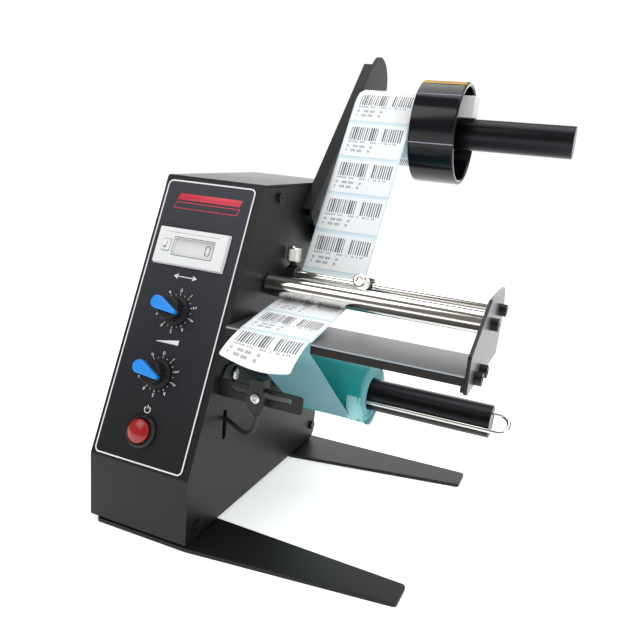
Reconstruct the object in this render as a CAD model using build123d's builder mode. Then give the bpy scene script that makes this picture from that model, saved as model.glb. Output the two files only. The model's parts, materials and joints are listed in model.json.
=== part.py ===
from build123d import *
import math
import os

# Bench label dispenser. X runs along the rollers towards their free ends, Y runs to the back
# and Z is up. The origin is on the floor, in the middle of the machine's footprint.
# Places are given as distances from the housing's right side face, its front and the floor.

os.makedirs("parts", exist_ok=True)

# Housing
housing_width = 80.0
housing_depth = 213.0
foot_thickness = 3.0
housing_height = 238.0
knee_height = 49.0
top_front_depth = 82.5
cover_sheet = 1.5
bend_radius = 3.0
side_sheet = 2.0
side_recess = 0.4
seam_gap = 0.4
rear_chamfer = 6.0
cover_lip = 14.0
shell_flange = 12.0
vent_length = 40.0
vent_width = 3.0
vent_pitch = 8.0
vent_count = 6
vent_middle_height = 190.0

# Tie bars between the side plates; the front one is placed as (distance from the front, height)
tie_bar_radius = 5.0
front_tie_bar_place = (14.4, 13.7)
top_tie_bar_setback = 106.0
top_tie_bar_margin = 9.5
rear_tie_bar_margin = 10.0
rear_tie_bar_height = 18.0
case_screw_radius = 2.0
case_screw_head_radius = 3.8
case_screw_head = 2.4
case_screw_length = 12.0
screw_fit = 0.05

# Feet
foot_reach = 143.0
foot_left_inset = 5.0
front_foot_root = (0.0, 43.7)
front_foot_tip = (17.5, 39.0)
rear_foot_root_width = 47.0
rear_foot_tip_width = 23.2
rear_foot_tip_overhang = 3.9
foot_corner_radius = 3.0
foot_screw_side_margin = 15.0

# Front panel: places are (x from the overlay's middle, distance up the slope from the knee)
overlay_thickness = 0.4
overlay_left_margin = 2.0
overlay_right_margin = 5.0
overlay_bottom = 1.5
overlay_top = 203.0
overlay_corner = 4.0
counter_spot = (-1.7, 153.3)
counter_bezel_width = 57.5
counter_bezel_height = 27.4
counter_bezel_proud = 3.6
counter_draft = 12.0
counter_body_width = 51.0
counter_body_height = 23.0
counter_body_depth = 34.0
window_width = 31.0
window_height = 12.0
window_shift = 2.5
window_depth = 1.2
reset_width = 6.0
reset_height = 8.0
reset_shift = -19.5
reset_proud = 0.8
reset_depth = 6.0
reset_gap = 0.25
length_knob_spot = (-1.2, 108.7)
speed_knob_spot = (-1.5, 63.6)
knob_angle = 72.0
knob_skirt_radius = 10.5
knob_skirt = 2.2
knob_radius = 8.4
knob_height = 11.0
knob_flutes = 18
knob_flute_radius = 0.7
knob_gap = 0.6
pointer_round = 0.6
pointer_round_radius = 4.6
pointer_tip_radius = 1.3
pointer_round_reach = 7.2
pointer_tip_reach = 8.0
pointer_height = 4.6
spindle_radius = 3.0
spindle_fit = 0.05
pot_neck_radius = 5.0
pot_neck_proud = 6.0
pot_radius = 12.0
pot_depth = 14.0
pot_nut_radius = 7.0
pot_nut = 2.4
button_spot = (-2.7, 23.0)
button_radius = 8.3
button_proud = 6.7
button_dome = 2.4
button_travel = 3.0
bezel_radius = 11.6
bezel_proud = 3.2
bezel_chamfer = 1.4
button_gap = 0.3
switch_neck_radius = 9.6
switch_neck = 12.0
switch_body = 20.0
switch_body_depth = 16.0
switch_pusher_radius = 3.0
switch_terminal_width = 5.0
switch_terminal_sheet = 0.8
switch_terminal_length = 7.2

# Roll holder: a leaning channel arm that carries the roll shaft
shaft_overhang = 23.5
shaft_height = 288.4
arm_lean = 48.0
arm_width = 47.0
arm_lower_reach = 115.5
arm_upper_reach = 50.0
arm_depth = 9.4
arm_sheet = 2.0
arm_corner = 5.0
arm_screw_reaches = (76.0, 100.0)
arm_spacer_radius = 6.0
arm_screw_radius = 2.5
arm_screw_head_radius = 4.75
arm_screw_head = 2.8
arm_nut_radius = 4.6
arm_nut = 4.0
shaft_radius = 12.5
shaft_end = 185.0
shaft_bolt_depth = 14.0
shaft_chamfer = 0.75
shaft_bolt_radius = 4.0
shaft_bolt_head_radius = 7.0
shaft_bolt_head = 4.4

# Label stock
label_width = 50.0
label_length = 30.0
label_gap = 3.0
label_thickness = 0.2
peeled_droop_radius = 70.0
liner_width = 52.0
liner_thickness = 0.3
web_left = 10.4
web_play = 0.15
label_roll_radius = 30.0
core_radius = 15.0
core_play = 0.25
roll_end_gap = 0.4
ring_radius = 41.0
ring_wall = 4.0
ring_width = 36.8
ring_disc = 3.0
ring_hub_radius = 17.0
ring_hub_length = 20.0
ring_fit = 0.08
ring_round = 1.5
block_length = 40.0
block_width = 17.0
block_height = 17.0
block_gap = 0.3
block_round = 0.6

# Rollers and rods between the side plate and the end plate
end_plate_inner = 160.5
end_plate_sheet = 2.5
end_plate_corners = [(40.0, 137.0), (40.0, 161.0), (89.0, 186.5), (138.0, 187.0),
                     (148.5, 171.0), (148.5, 161.0), (142.0, 137.5)]
end_plate_corner = 2.5
roller_place = (95.8, 169.3)
roller_radius = 7.8
roller_bore = 5.6
roller_gap = 0.5
axle_radius = 4.0
bush_length = 9.0
bush_flange = 1.0
bush_flange_radius = 6.6
bush_fit = 0.02
running_fit = 0.08
rod_place = (125.0, 173.2)
rod_radius = 4.0
collar_width = 8.0
collar_radius = 7.0
collar_gap = 0.4
collar_fit = 0.08
thumb_screw_radius = 2.0
thumb_neck_radius = 2.8
thumb_neck = 3.0
thumb_head_radius = 5.3
thumb_head = 11.0
thumb_grooves = 20
thumb_groove_radius = 0.35
left_thumb_angle = 90.0
right_thumb_angle = 160.0
end_screw_radius = 2.5
end_screw_head_radius = 4.25
end_screw_head = 5.0
end_screw_socket = 2.3
end_screw_socket_depth = 2.6
end_screw_grip = 12.0
hole_play = 0.25

# Peel plate
peel_front = 38.5
peel_back = 85.0
peel_top = 150.0
peel_sheet = 2.0
peel_lip = 7.0
peel_back_lip = 12.0
peel_nose_radius = 0.9
peel_tab = 3.0
peel_tab_setback = 8.0
peel_tab_height = 11.5
peel_screw_places = [(58.9, 143.2), (76.5, 143.2)]

# Take-up spindle
takeup_place = (147.0, 83.5)
takeup_radius = 12.5
takeup_wall = 2.0
takeup_left = 3.0
takeup_end = 167.0
takeup_hub = 15.0
takeup_plug = 22.0
plug_fit = 0.02
motor_shaft_radius = 3.0
motor_shaft_fit = 0.02
wire_radius = 1.5
wire_gap = 0.15
clip_inner_shift = (-0.5, 6.5)
clip_outer_angle = 188.0
clip_left = 24.0
clip_loop_start = 172.5
clip_hole_fit = 0.08
liner_roll_radius = 23.0
liner_roll_play = 0.15
liner_roll_left = 14.0
liner_roll_right = 72.7

# Gear motor
gearbox_radius = 18.5
gearbox_length = 24.0
gearbox_boss_radius = 6.0
gearbox_boss = 5.0
motor_radius = 17.0
motor_length = 34.0
motor_rear_boss_radius = 5.0
motor_rear_boss = 2.5
motor_shaft_inside = 15.0
motor_screw_circle = 15.5
motor_screw_radius = 1.5
motor_screw_head_radius = 2.7
motor_screw_head = 1.8
motor_screw_grip = 6.0
motor_screw_count = 3

# Label sensor on its slotted bar
bar_front = 35.0
bar_sheet = 1.5
bar_bottom = 101.8
bar_top = 114.0
bar_end = 61.7
bar_corner = 2.0
bar_slot_height = 109.2
bar_slot_width = 3.8
bar_slot_start = 9.0
bar_slot_end = 54.0
bracket_foot_back = 62.0
bracket_foot_top = 121.0
bracket_slot_length = 12.0
bracket_slot_width = 4.4
bracket_screw_place = (52.0, 112.5)
bracket_screw_radius = 2.0
bracket_screw_head_radius = 3.8
bracket_screw_head = 2.4
sensor_middle = 31.4
sensor_width = 12.5
sensor_depth = 7.4
sensor_bottom = 98.4
sensor_top = 114.6
sensor_head_top = 121.6
sensor_head_back = 38.4
sensor_head_width = 10.0
sensor_gap = 0.2
sensor_lens_radius = 2.2
sensor_lens = 0.6
sensor_screw_radius = 1.5
sensor_screw_head_radius = 3.4
sensor_screw_head = 2.0
sensor_nut_radius = 2.9
sensor_nut = 2.2
sensor_boss_radius = 2.6
sensor_boss = 2.0
lead_radius = 1.5
lead_slot_width = 5.0
lead_slot_bottom = 65.5
lead_slot_top = 88.0
lead_slot_place = 44.4
lead_end_rise = 6.0
lead_end_gap = 0.2
lead_end_run = 17.8

# Inside the housing
board_thickness = 1.6
board_length = 84.0
board_height = 90.0
board_back_margin = 23.0
board_motor_gap = 1.0
board_spacer = 6.0
board_spacer_radius = 3.0
board_spacer_margin = 5.0

# Parts on the board as (along, up, width, height, rise), and its cans as (along, up, radius, rise)
board_parts = [(7.0, 5.0, 10.0, 8.0, 8.0), (30.0, 14.0, 16.0, 12.0, 10.0), (60.0, 16.0, 19.0, 15.0, 15.0),
               (36.0, 52.0, 30.0, 12.0, 3.0), (70.0, 50.0, 10.0, 26.0, 9.0), (42.0, 33.0, 24.0, 8.0, 9.0)]
board_cans = [(14.0, 34.0, 5.0, 12.0), (52.0, 74.0, 6.5, 16.0), (66.0, 76.0, 5.0, 12.0)]
transformer_core = (40.0, 34.0, 42.0)
transformer_coil = (28.0, 44.0, 26.0)
transformer_setback = 112.0
transformer_flange = 2.0
transformer_flange_length = 58.0
inlet_height = 48.0
inlet_flange_width = 50.0
inlet_flange_height = 23.0
inlet_flange = 2.6
inlet_body_width = 27.0
inlet_body_height = 19.6
inlet_body_depth = 24.0
inlet_socket_width = 24.6
inlet_socket_height = 16.6
inlet_socket_depth = 16.0
inlet_corner = 4.0
inlet_pin_reach = 12.0
inlet_pin_width = 2.0
inlet_pin_height = 4.0
inlet_pin_spread = 7.0
inlet_pin_drop = 2.0
inlet_pin_rise = 2.0

# Sizes that follow from the ones above
housing_top = foot_thickness + housing_height
knee_top = foot_thickness + knee_height
slope_angle = math.atan2(top_front_depth, housing_height - knee_height)
slope_sine = math.sin(slope_angle)
slope_cosine = math.cos(slope_angle)
plate_outer = -side_recess
plate_inner = plate_outer - side_sheet
left_outer = side_recess - housing_width
left_inner = left_outer + side_sheet
housing_middle = (left_inner + plate_inner) / 2
rear_tie_bar_setback = housing_depth - rear_tie_bar_margin
tie_bar_places = [front_tie_bar_place, (top_tie_bar_setback, housing_top - top_tie_bar_margin),
                  (rear_tie_bar_setback, rear_tie_bar_height),
                  (rear_tie_bar_setback, housing_top - top_tie_bar_margin)]
rear_foot_root = (housing_depth - rear_foot_root_width, housing_depth)
rear_foot_tip = (housing_depth + rear_foot_tip_overhang - rear_foot_tip_width,
                 housing_depth + rear_foot_tip_overhang)
overlay_left = overlay_left_margin - housing_width
overlay_right = -overlay_right_margin
overlay_middle = (overlay_left + overlay_right) / 2
counter_place = (overlay_middle + counter_spot[0], counter_spot[1])
length_knob_place = (overlay_middle + length_knob_spot[0], length_knob_spot[1])
speed_knob_place = (overlay_middle + speed_knob_spot[0], speed_knob_spot[1])
button_place = (overlay_middle + button_spot[0], button_spot[1])
shaft_place = (housing_depth + shaft_overhang, shaft_height)
lean_sine = math.sin(math.radians(arm_lean))
lean_cosine = math.cos(math.radians(arm_lean))
web_right = web_left + liner_width
web_middle = web_left + liner_width / 2
ring_left = web_right + roll_end_gap * 2
web_offset = label_thickness + liner_thickness / 2 + web_play
clip_outer_shift = ((takeup_radius + wire_radius + wire_gap) * math.cos(math.radians(clip_outer_angle)),
                    (takeup_radius + wire_radius + wire_gap) * math.sin(math.radians(clip_outer_angle)))

board_back = housing_depth - board_back_margin
board_front = board_back - board_length
board_bottom = takeup_place[1] + gearbox_radius + board_motor_gap
board_top = board_bottom + board_height
board_face = left_inner + board_spacer + board_thickness
inlet_place = (housing_middle, inlet_height)

# The machine's footprint, which puts the origin in its middle
reach_left = left_outer - case_screw_head
reach_right = shaft_end
reach_back = shaft_place[0] + arm_upper_reach * lean_cosine + arm_width / 2
side_x = -(reach_left + reach_right) / 2
front_y = -reach_back / 2


def side_plane(x):
    """Plane that faces +X; its sketch axes are the distance from the front and the height."""
    return Plane(origin=(side_x + x, front_y, 0), x_dir=(0, 1, 0), z_dir=(1, 0, 0))


def front_plane(y):
    """Plane that faces the front; its sketch axes are the distance from the side face and the height."""
    return Plane(origin=(side_x, front_y + y, 0), x_dir=(1, 0, 0), z_dir=(0, -1, 0))


def level_plane(z):
    """Plane that faces up; its sketch axes are the distances from the side face and the front."""
    return Plane(origin=(side_x, front_y, z), x_dir=(1, 0, 0), z_dir=(0, 0, 1))


def panel_plane(height):
    """Plane along the sloping panel, at a height above it; its axes are x and v up the slope."""
    slope = Plane(origin=(side_x, front_y, knee_top), x_dir=(1, 0, 0), z_dir=(0, -slope_cosine, slope_sine))
    return slope.offset(height)


def arm_plane(x):
    """Plane that faces +X with its origin on the roll shaft and its first axis up the arm."""
    origin = (side_x + x, front_y + shaft_place[0], shaft_place[1])
    return Plane(origin=origin, x_dir=(0, lean_cosine, lean_sine), z_dir=(1, 0, 0))


def disc(plane, place, radius, length, mode=Mode.ADD):
    """Adds or cuts a round bar that stands on a plane."""
    with BuildSketch(plane) as section:
        with Locations(place):
            Circle(radius)
    extrude(section.sketch, amount=length, mode=mode)


def block(plane, place, width, height, length, mode=Mode.ADD):
    """Adds or cuts a square-cornered block that stands on a plane."""
    with BuildSketch(plane) as section:
        with Locations(place):
            Rectangle(width, height)
    extrude(section.sketch, amount=length, mode=mode)


def nut(plane, place, radius, hole_radius, length):
    """Adds a hexagon nut that stands on a plane; the radius reaches its corners."""
    with BuildSketch(plane) as section:
        with Locations(place):
            RegularPolygon(radius, 6)
            Circle(hole_radius, mode=Mode.SUBTRACT)
    extrude(section.sketch, amount=length)


def button_screw(plane, place, radius, head_radius, head, grip, socket):
    """Adds a low round-headed screw whose head stands on a plane and whose shank goes behind it."""
    disc(plane, place, head_radius, head)
    disc(plane, place, radius, -grip)
    with BuildSketch(plane.offset(head)) as section:
        with Locations(place):
            RegularPolygon(socket, 6)
    extrude(section.sketch, amount=-head / 2, mode=Mode.SUBTRACT)


def housing_points(inset):
    """Side outline of the housing, moved inwards all round, as (distance from the front, height)."""
    half_turn = math.tan(slope_angle / 2)
    chamfer_shift = inset * math.tan(math.pi / 8)
    top = housing_top - inset
    top_front = (inset + slope_sine * (top - knee_top)) / slope_cosine
    back = housing_depth - inset
    bottom = foot_thickness + inset
    return [(inset, bottom), (inset, knee_top - inset * half_turn), (top_front, top), (back, top),
            (back, foot_thickness + rear_chamfer + chamfer_shift),
            (housing_depth - rear_chamfer - chamfer_shift, bottom)]


def housing_face(inset):
    """Side outline with its three front bends rounded."""
    with BuildSketch(Plane.XY, mode=Mode.PRIVATE) as face:
        Polygon(*housing_points(inset), align=None)
        fillet(face.vertices().sort_by(Axis.X)[:3], bend_radius - inset)
    return face.sketch


# Front cover: one sheet bent over the front, the slope and the top
with BuildPart() as front_cover:
    with BuildSketch(side_plane(-housing_width)):
        add(housing_face(0))
        add(housing_face(cover_sheet), mode=Mode.SUBTRACT)
        with Locations((cover_lip, 0)):
            Rectangle(housing_depth, foot_thickness + rear_chamfer * 2, align=Align.MIN, mode=Mode.SUBTRACT)
        with Locations((housing_depth - cover_sheet - seam_gap, 0)):
            Rectangle(housing_depth, housing_top - cover_sheet, align=Align.MIN, mode=Mode.SUBTRACT)
    extrude(amount=housing_width)
    block(panel_plane(-cover_sheet * 2), counter_place, counter_body_width + 2 * hole_play,
          counter_body_height + 2 * hole_play, cover_sheet * 4, Mode.SUBTRACT)
    for knob_place in (length_knob_place, speed_knob_place):
        disc(panel_plane(-cover_sheet * 2), knob_place, pot_neck_radius + hole_play, cover_sheet * 4,
             Mode.SUBTRACT)
    disc(panel_plane(-cover_sheet * 2), button_place, switch_neck_radius + hole_play, cover_sheet * 4,
         Mode.SUBTRACT)
    lip_screw_xs = (foot_screw_side_margin - housing_width, -foot_screw_side_margin)
    for screw_x in lip_screw_xs:
        disc(level_plane(0), (screw_x, cover_lip / 2), case_screw_radius + hole_play,
             foot_thickness + cover_sheet * 2, Mode.SUBTRACT)
front_cover.part.label = "front_cover"
export_step(front_cover.part, "parts/front_cover.step")

# Rear shell: bottom, chamfer and back in one sheet, with a flange under the cover's top
shell_front = cover_lip + seam_gap
foot_screw_rows = [cover_lip / 2, front_foot_root[1] - cover_lip, rear_foot_root[0] + cover_lip,
                   housing_depth - cover_lip - rear_chamfer]
with BuildPart() as rear_shell:
    with BuildSketch(side_plane(seam_gap - housing_width + side_recess + side_sheet)):
        Polygon(*housing_points(0), align=None)
        Polygon(*housing_points(cover_sheet), align=None, mode=Mode.SUBTRACT)
        Rectangle(shell_front, housing_top * 2, align=(Align.MIN, Align.CENTER), mode=Mode.SUBTRACT)
        with Locations((0, foot_thickness + rear_chamfer * 2)):
            Rectangle(housing_depth - cover_sheet, housing_top, align=Align.MIN, mode=Mode.SUBTRACT)
        with Locations((0, housing_top - cover_sheet - seam_gap)):
            Rectangle(housing_depth * 2, housing_top, align=Align.MIN, mode=Mode.SUBTRACT)
        with Locations((housing_depth, housing_top - cover_sheet - seam_gap)):
            Rectangle(shell_flange, cover_sheet, align=Align.MAX)
    extrude(amount=housing_width - 2 * (side_recess + side_sheet + seam_gap))
    with BuildSketch(front_plane(housing_depth + cover_sheet)):
        with Locations((-housing_width / 2, vent_middle_height)):
            with GridLocations(vent_length, vent_pitch, 1, vent_count):
                SlotOverall(vent_length, vent_width)
    extrude(amount=cover_sheet * 3, mode=Mode.SUBTRACT)
    block(front_plane(housing_depth + cover_sheet), inlet_place, inlet_body_width + 2 * hole_play,
          inlet_body_height + 2 * hole_play, cover_sheet * 3, Mode.SUBTRACT)
    for screw_x in lip_screw_xs:
        for screw_y in foot_screw_rows[1:]:
            disc(level_plane(0), (screw_x, screw_y), case_screw_radius + hole_play,
                 foot_thickness + cover_sheet * 2, Mode.SUBTRACT)
rear_shell.part.label = "rear_shell"
export_step(rear_shell.part, "parts/rear_shell.step")

# Side plates, which sit inside the edge of the cover; the left one has the control board's spacers
plate_inset = cover_sheet + seam_gap
with BuildPart() as left_side:
    with BuildSketch(side_plane(left_outer)):
        add(housing_face(plate_inset))
    extrude(amount=side_sheet)
    for bar_place in tie_bar_places:
        disc(side_plane(left_outer), bar_place, case_screw_radius + hole_play, side_sheet, Mode.SUBTRACT)
    for board_y in (board_front + board_spacer_margin, board_back - board_spacer_margin):
        for board_z in (board_bottom + board_spacer_margin, board_top - board_spacer_margin):
            disc(side_plane(left_inner), (board_y, board_z), board_spacer_radius, board_spacer)
left_side.part.label = "left_side"
export_step(left_side.part, "parts/left_side.step")

motor_screw_spots = [(takeup_place[0] + motor_screw_circle * math.cos(2 * math.pi * turn / motor_screw_count),
                      takeup_place[1] + motor_screw_circle * math.sin(2 * math.pi * turn / motor_screw_count))
                     for turn in range(motor_screw_count)]
arm_screw_places = [(shaft_place[0] - reach * lean_cosine, shaft_place[1] - reach * lean_sine)
                    for reach in arm_screw_reaches]
end_screw_places = [roller_place, rod_place] + peel_screw_places
with BuildPart() as right_side:
    with BuildSketch(side_plane(plate_inner)):
        add(housing_face(plate_inset))
        with Locations((lead_slot_place, (lead_slot_bottom + lead_slot_top) / 2)):
            SlotOverall(lead_slot_top - lead_slot_bottom, lead_slot_width, rotation=90, mode=Mode.SUBTRACT)
    extrude(amount=side_sheet)
    for bar_place in tie_bar_places:
        disc(side_plane(plate_inner), bar_place, case_screw_radius + hole_play, side_sheet, Mode.SUBTRACT)
    for screw_place in end_screw_places:
        disc(side_plane(plate_inner), screw_place, end_screw_radius + hole_play, side_sheet, Mode.SUBTRACT)
    for screw_place in arm_screw_places:
        disc(side_plane(plate_inner), screw_place, arm_screw_radius + hole_play, side_sheet, Mode.SUBTRACT)
    for screw_place in motor_screw_spots:
        disc(side_plane(plate_inner), screw_place, motor_screw_radius + hole_play, side_sheet, Mode.SUBTRACT)
    disc(side_plane(plate_inner), takeup_place, gearbox_boss_radius + hole_play, side_sheet, Mode.SUBTRACT)
    disc(side_plane(plate_inner), bracket_screw_place, bracket_screw_radius + screw_fit, side_sheet, Mode.SUBTRACT)
right_side.part.label = "right_side"
export_step(right_side.part, "parts/right_side.step")

# Tie bars that hold the side plates apart, tapped at both ends
with BuildPart() as tie_bars:
    for bar_place in tie_bar_places:
        disc(side_plane(left_inner), bar_place, tie_bar_radius, plate_inner - left_inner)
        for tapped_end, depth in ((left_inner, case_screw_length), (plate_inner, -case_screw_length)):
            disc(side_plane(tapped_end), bar_place, case_screw_radius + screw_fit, depth, Mode.SUBTRACT)
tie_bars.part.label = "tie_bars"
export_step(tie_bars.part, "parts/tie_bars.step")

# Feet: flat tapered plates under the housing that reach out below the rollers
foot_left = foot_left_inset - housing_width


def foot_plate(root, tip, screw_rows):
    """Tapered foot from its width at the housing to its width at the tip, with its screw holes."""
    with BuildSketch(level_plane(0)) as outline:
        Polygon((foot_left, root[0]), (0, root[0]), (foot_reach, tip[0]), (foot_reach, tip[1]), (0, root[1]),
                (foot_left, root[1]), align=None)
        fillet(outline.vertices().group_by(Axis.X)[0] + outline.vertices().group_by(Axis.X)[-1],
               foot_corner_radius)
    extrude(outline.sketch, amount=foot_thickness)
    for hole_x in lip_screw_xs:
        for hole_y in screw_rows:
            disc(level_plane(0), (hole_x, hole_y), case_screw_radius + screw_fit, foot_thickness, Mode.SUBTRACT)


with BuildPart() as front_foot:
    foot_plate(front_foot_root, front_foot_tip, foot_screw_rows[:2])
front_foot.part.label = "front_foot"
export_step(front_foot.part, "parts/front_foot.step")

with BuildPart() as rear_foot:
    foot_plate(rear_foot_root, rear_foot_tip, foot_screw_rows[2:])
rear_foot.part.label = "rear_foot"
export_step(rear_foot.part, "parts/rear_foot.step")

# Screws that clamp the side plates on the tie bars, and the cover and shell on the feet
with BuildPart() as housing_screws:
    left_screw_plane = Plane(origin=(side_x + left_outer, front_y, 0), x_dir=(0, 1, 0), z_dir=(-1, 0, 0))
    for bar_y, bar_z in tie_bar_places:
        button_screw(side_plane(plate_outer), (bar_y, bar_z), case_screw_radius, case_screw_head_radius,
                     case_screw_head, case_screw_length, case_screw_radius / 2)
        button_screw(left_screw_plane, (bar_y, -bar_z), case_screw_radius, case_screw_head_radius,
                     case_screw_head, case_screw_length, case_screw_radius / 2)
    for screw_x in lip_screw_xs:
        for screw_y in foot_screw_rows:
            button_screw(level_plane(foot_thickness + cover_sheet), (screw_x, screw_y), case_screw_radius,
                         case_screw_head_radius, case_screw_head, foot_thickness + cover_sheet,
                         case_screw_radius / 2)
housing_screws.part.label = "housing_screws"
export_step(housing_screws.part, "parts/housing_screws.step")

# Panel overlay: a thin printed sheet on the slope
with BuildPart() as panel_overlay:
    with BuildSketch(panel_plane(0)):
        with Locations((overlay_middle, (overlay_bottom + overlay_top) / 2)):
            RectangleRounded(overlay_right - overlay_left, overlay_top - overlay_bottom, overlay_corner)
        with Locations(counter_place):
            Rectangle(counter_body_width + 2 * hole_play, counter_body_height + 2 * hole_play, mode=Mode.SUBTRACT)
        with Locations(length_knob_place, speed_knob_place):
            Circle(pot_neck_radius + hole_play, mode=Mode.SUBTRACT)
        with Locations(button_place):
            Circle(switch_neck_radius + hole_play, mode=Mode.SUBTRACT)
    extrude(amount=overlay_thickness)
panel_overlay.part.label = "panel_overlay"
export_step(panel_overlay.part, "parts/panel_overlay.step")

# Counter: a tapered bezel with a sunk window, and its body behind the panel
window_place = (counter_place[0] + window_shift, counter_place[1])
reset_place = (counter_place[0] + reset_shift, counter_place[1])
bezel_top = overlay_thickness + counter_bezel_proud
with BuildPart() as counter_case:
    with BuildSketch(panel_plane(overlay_thickness)) as bezel_outline:
        with Locations(counter_place):
            Rectangle(counter_bezel_width, counter_bezel_height)
    extrude(bezel_outline.sketch, amount=counter_bezel_proud, taper=counter_draft)
    block(panel_plane(overlay_thickness), counter_place, counter_body_width, counter_body_height,
          -counter_body_depth)
    block(panel_plane(bezel_top), window_place, window_width, window_height, -2 * window_depth, Mode.SUBTRACT)
    block(panel_plane(bezel_top), reset_place, reset_width + 2 * reset_gap, reset_height + 2 * reset_gap,
          -reset_depth - 2 * window_depth, Mode.SUBTRACT)
counter_case.part.label = "counter_case"
export_step(counter_case.part, "parts/counter_case.step")

with BuildPart() as counter_window:
    block(panel_plane(bezel_top - 2 * window_depth), window_place, window_width, window_height, window_depth)
counter_window.part.label = "counter_window"
export_step(counter_window.part, "parts/counter_window.step")

with BuildPart() as counter_reset:
    with BuildSketch(panel_plane(bezel_top - reset_depth)) as reset_outline:
        with Locations(reset_place):
            Rectangle(reset_width, reset_height)
    extrude(reset_outline.sketch, amount=reset_depth + reset_proud)
    fillet(counter_reset.edges().group_by(Axis.Z)[-1], reset_proud / 2)
counter_reset.part.label = "counter_reset"
export_step(counter_reset.part, "parts/counter_reset.step")

# Adjusting knobs, each with its pointer, and the potentiometers that they turn
pointing = (-math.sin(math.radians(knob_angle)), math.cos(math.radians(knob_angle)))


def knob_body(place):
    """Fluted knob on a round skirt, bored for the spindle."""
    base = pot_neck_proud + knob_gap
    disc(panel_plane(overlay_thickness + knob_gap), place, knob_skirt_radius, knob_skirt)
    with BuildSketch(panel_plane(overlay_thickness + knob_gap)) as grip:
        with Locations(place):
            Circle(knob_radius)
            with PolarLocations(knob_radius, knob_flutes):
                Circle(knob_flute_radius, mode=Mode.SUBTRACT)
    extrude(grip.sketch, amount=knob_height)
    disc(panel_plane(0), place, pot_nut_radius + hole_play, overlay_thickness + base, Mode.SUBTRACT)
    disc(panel_plane(0), place, spindle_radius, overlay_thickness + knob_gap + knob_height - knob_skirt,
         Mode.SUBTRACT)


def knob_pointer(place):
    """Raised pointer, round over its dial mark and drawn in to a tip behind the knob's middle."""
    round_end = Vector(place[0] + pointing[0] * pointer_round_reach, place[1] + pointing[1] * pointer_round_reach)
    tip_end = Vector(place[0] - pointing[0] * pointer_tip_reach, place[1] - pointing[1] * pointer_tip_reach)
    with BuildSketch(panel_plane(overlay_thickness + knob_gap + knob_height)) as pointer:
        with Locations(round_end):
            Circle(pointer_round_radius)
        with Locations(tip_end):
            Circle(pointer_tip_radius)
        make_hull()
    extrude(pointer.sketch, amount=pointer_height)


def knob_spindle(place):
    """Potentiometer spindle, from its can to the top of the knob's bore."""
    disc(panel_plane(-pot_depth), place, spindle_radius - spindle_fit,
         pot_depth + overlay_thickness + knob_gap + knob_height - knob_skirt)


def potentiometer(place):
    """Can behind the panel with a threaded neck and a nut in front."""
    disc(panel_plane(-cover_sheet), place, pot_radius, -pot_depth)
    disc(panel_plane(-cover_sheet), place, pot_neck_radius, cover_sheet + overlay_thickness + pot_neck_proud)
    nut(panel_plane(overlay_thickness), place, pot_nut_radius, pot_neck_radius, pot_nut)
    disc(panel_plane(-pot_depth), place, spindle_radius + spindle_fit,
         pot_depth + overlay_thickness + pot_neck_proud, Mode.SUBTRACT)


with BuildPart() as length_knob:
    knob_body(length_knob_place)
length_knob.part.label = "length_knob"
export_step(length_knob.part, "parts/length_knob.step")

with BuildPart() as length_pointer:
    knob_pointer(length_knob_place)
    fillet(length_pointer.faces().sort_by(Axis.Y)[0].edges(), pointer_round)
length_pointer.part.label = "length_pointer"
export_step(length_pointer.part, "parts/length_pointer.step")

with BuildPart() as length_spindle:
    knob_spindle(length_knob_place)
length_spindle.part.label = "length_spindle"
export_step(length_spindle.part, "parts/length_spindle.step")

with BuildPart() as potentiometers:
    potentiometer(length_knob_place)
    potentiometer(speed_knob_place)
potentiometers.part.label = "potentiometers"
export_step(potentiometers.part, "parts/potentiometers.step")

with BuildPart() as speed_knob:
    knob_body(speed_knob_place)
speed_knob.part.label = "speed_knob"
export_step(speed_knob.part, "parts/speed_knob.step")

with BuildPart() as speed_pointer:
    knob_pointer(speed_knob_place)
    fillet(speed_pointer.faces().sort_by(Axis.Y)[0].edges(), pointer_round)
speed_pointer.part.label = "speed_pointer"
export_step(speed_pointer.part, "parts/speed_pointer.step")

with BuildPart() as speed_spindle:
    knob_spindle(speed_knob_place)
speed_spindle.part.label = "speed_spindle"
export_step(speed_spindle.part, "parts/speed_spindle.step")

# Power button in its bezel, with the switch behind the panel
with BuildPart() as power_bezel:
    disc(panel_plane(overlay_thickness), button_place, bezel_radius, bezel_proud)
    chamfer(power_bezel.faces().sort_by(Axis.Y)[0].edges(), bezel_chamfer)
    disc(panel_plane(overlay_thickness), button_place, switch_neck_radius, -switch_neck)
    disc(panel_plane(overlay_thickness - switch_neck), button_place, button_radius + button_gap,
         switch_neck + bezel_proud, Mode.SUBTRACT)
power_bezel.part.label = "power_bezel"
export_step(power_bezel.part, "parts/power_bezel.step")

with BuildPart() as power_button:
    disc(panel_plane(-button_travel), button_place, button_radius,
         button_travel + overlay_thickness + button_proud)
    fillet(power_button.faces().sort_by(Axis.Y)[0].edges(), button_dome)
    disc(panel_plane(-button_travel), button_place, switch_pusher_radius,
         overlay_thickness - switch_neck + button_travel)
power_button.part.label = "power_button"
export_step(power_button.part, "parts/power_button.step")

with BuildPart() as power_switch:
    block(panel_plane(overlay_thickness - switch_neck), button_place, switch_body, switch_body,
          -switch_body_depth)
    disc(panel_plane(overlay_thickness - switch_neck), button_place, switch_pusher_radius + button_gap,
         -button_travel - button_gap, Mode.SUBTRACT)
    for side in (-1, 1):
        terminal_place = (button_place[0] + side * switch_body / 4, button_place[1])
        block(panel_plane(overlay_thickness - switch_neck - switch_body_depth), terminal_place,
              switch_terminal_sheet, switch_terminal_width, -switch_terminal_length)
power_switch.part.label = "power_switch"
export_step(power_switch.part, "parts/power_switch.step")

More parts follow.
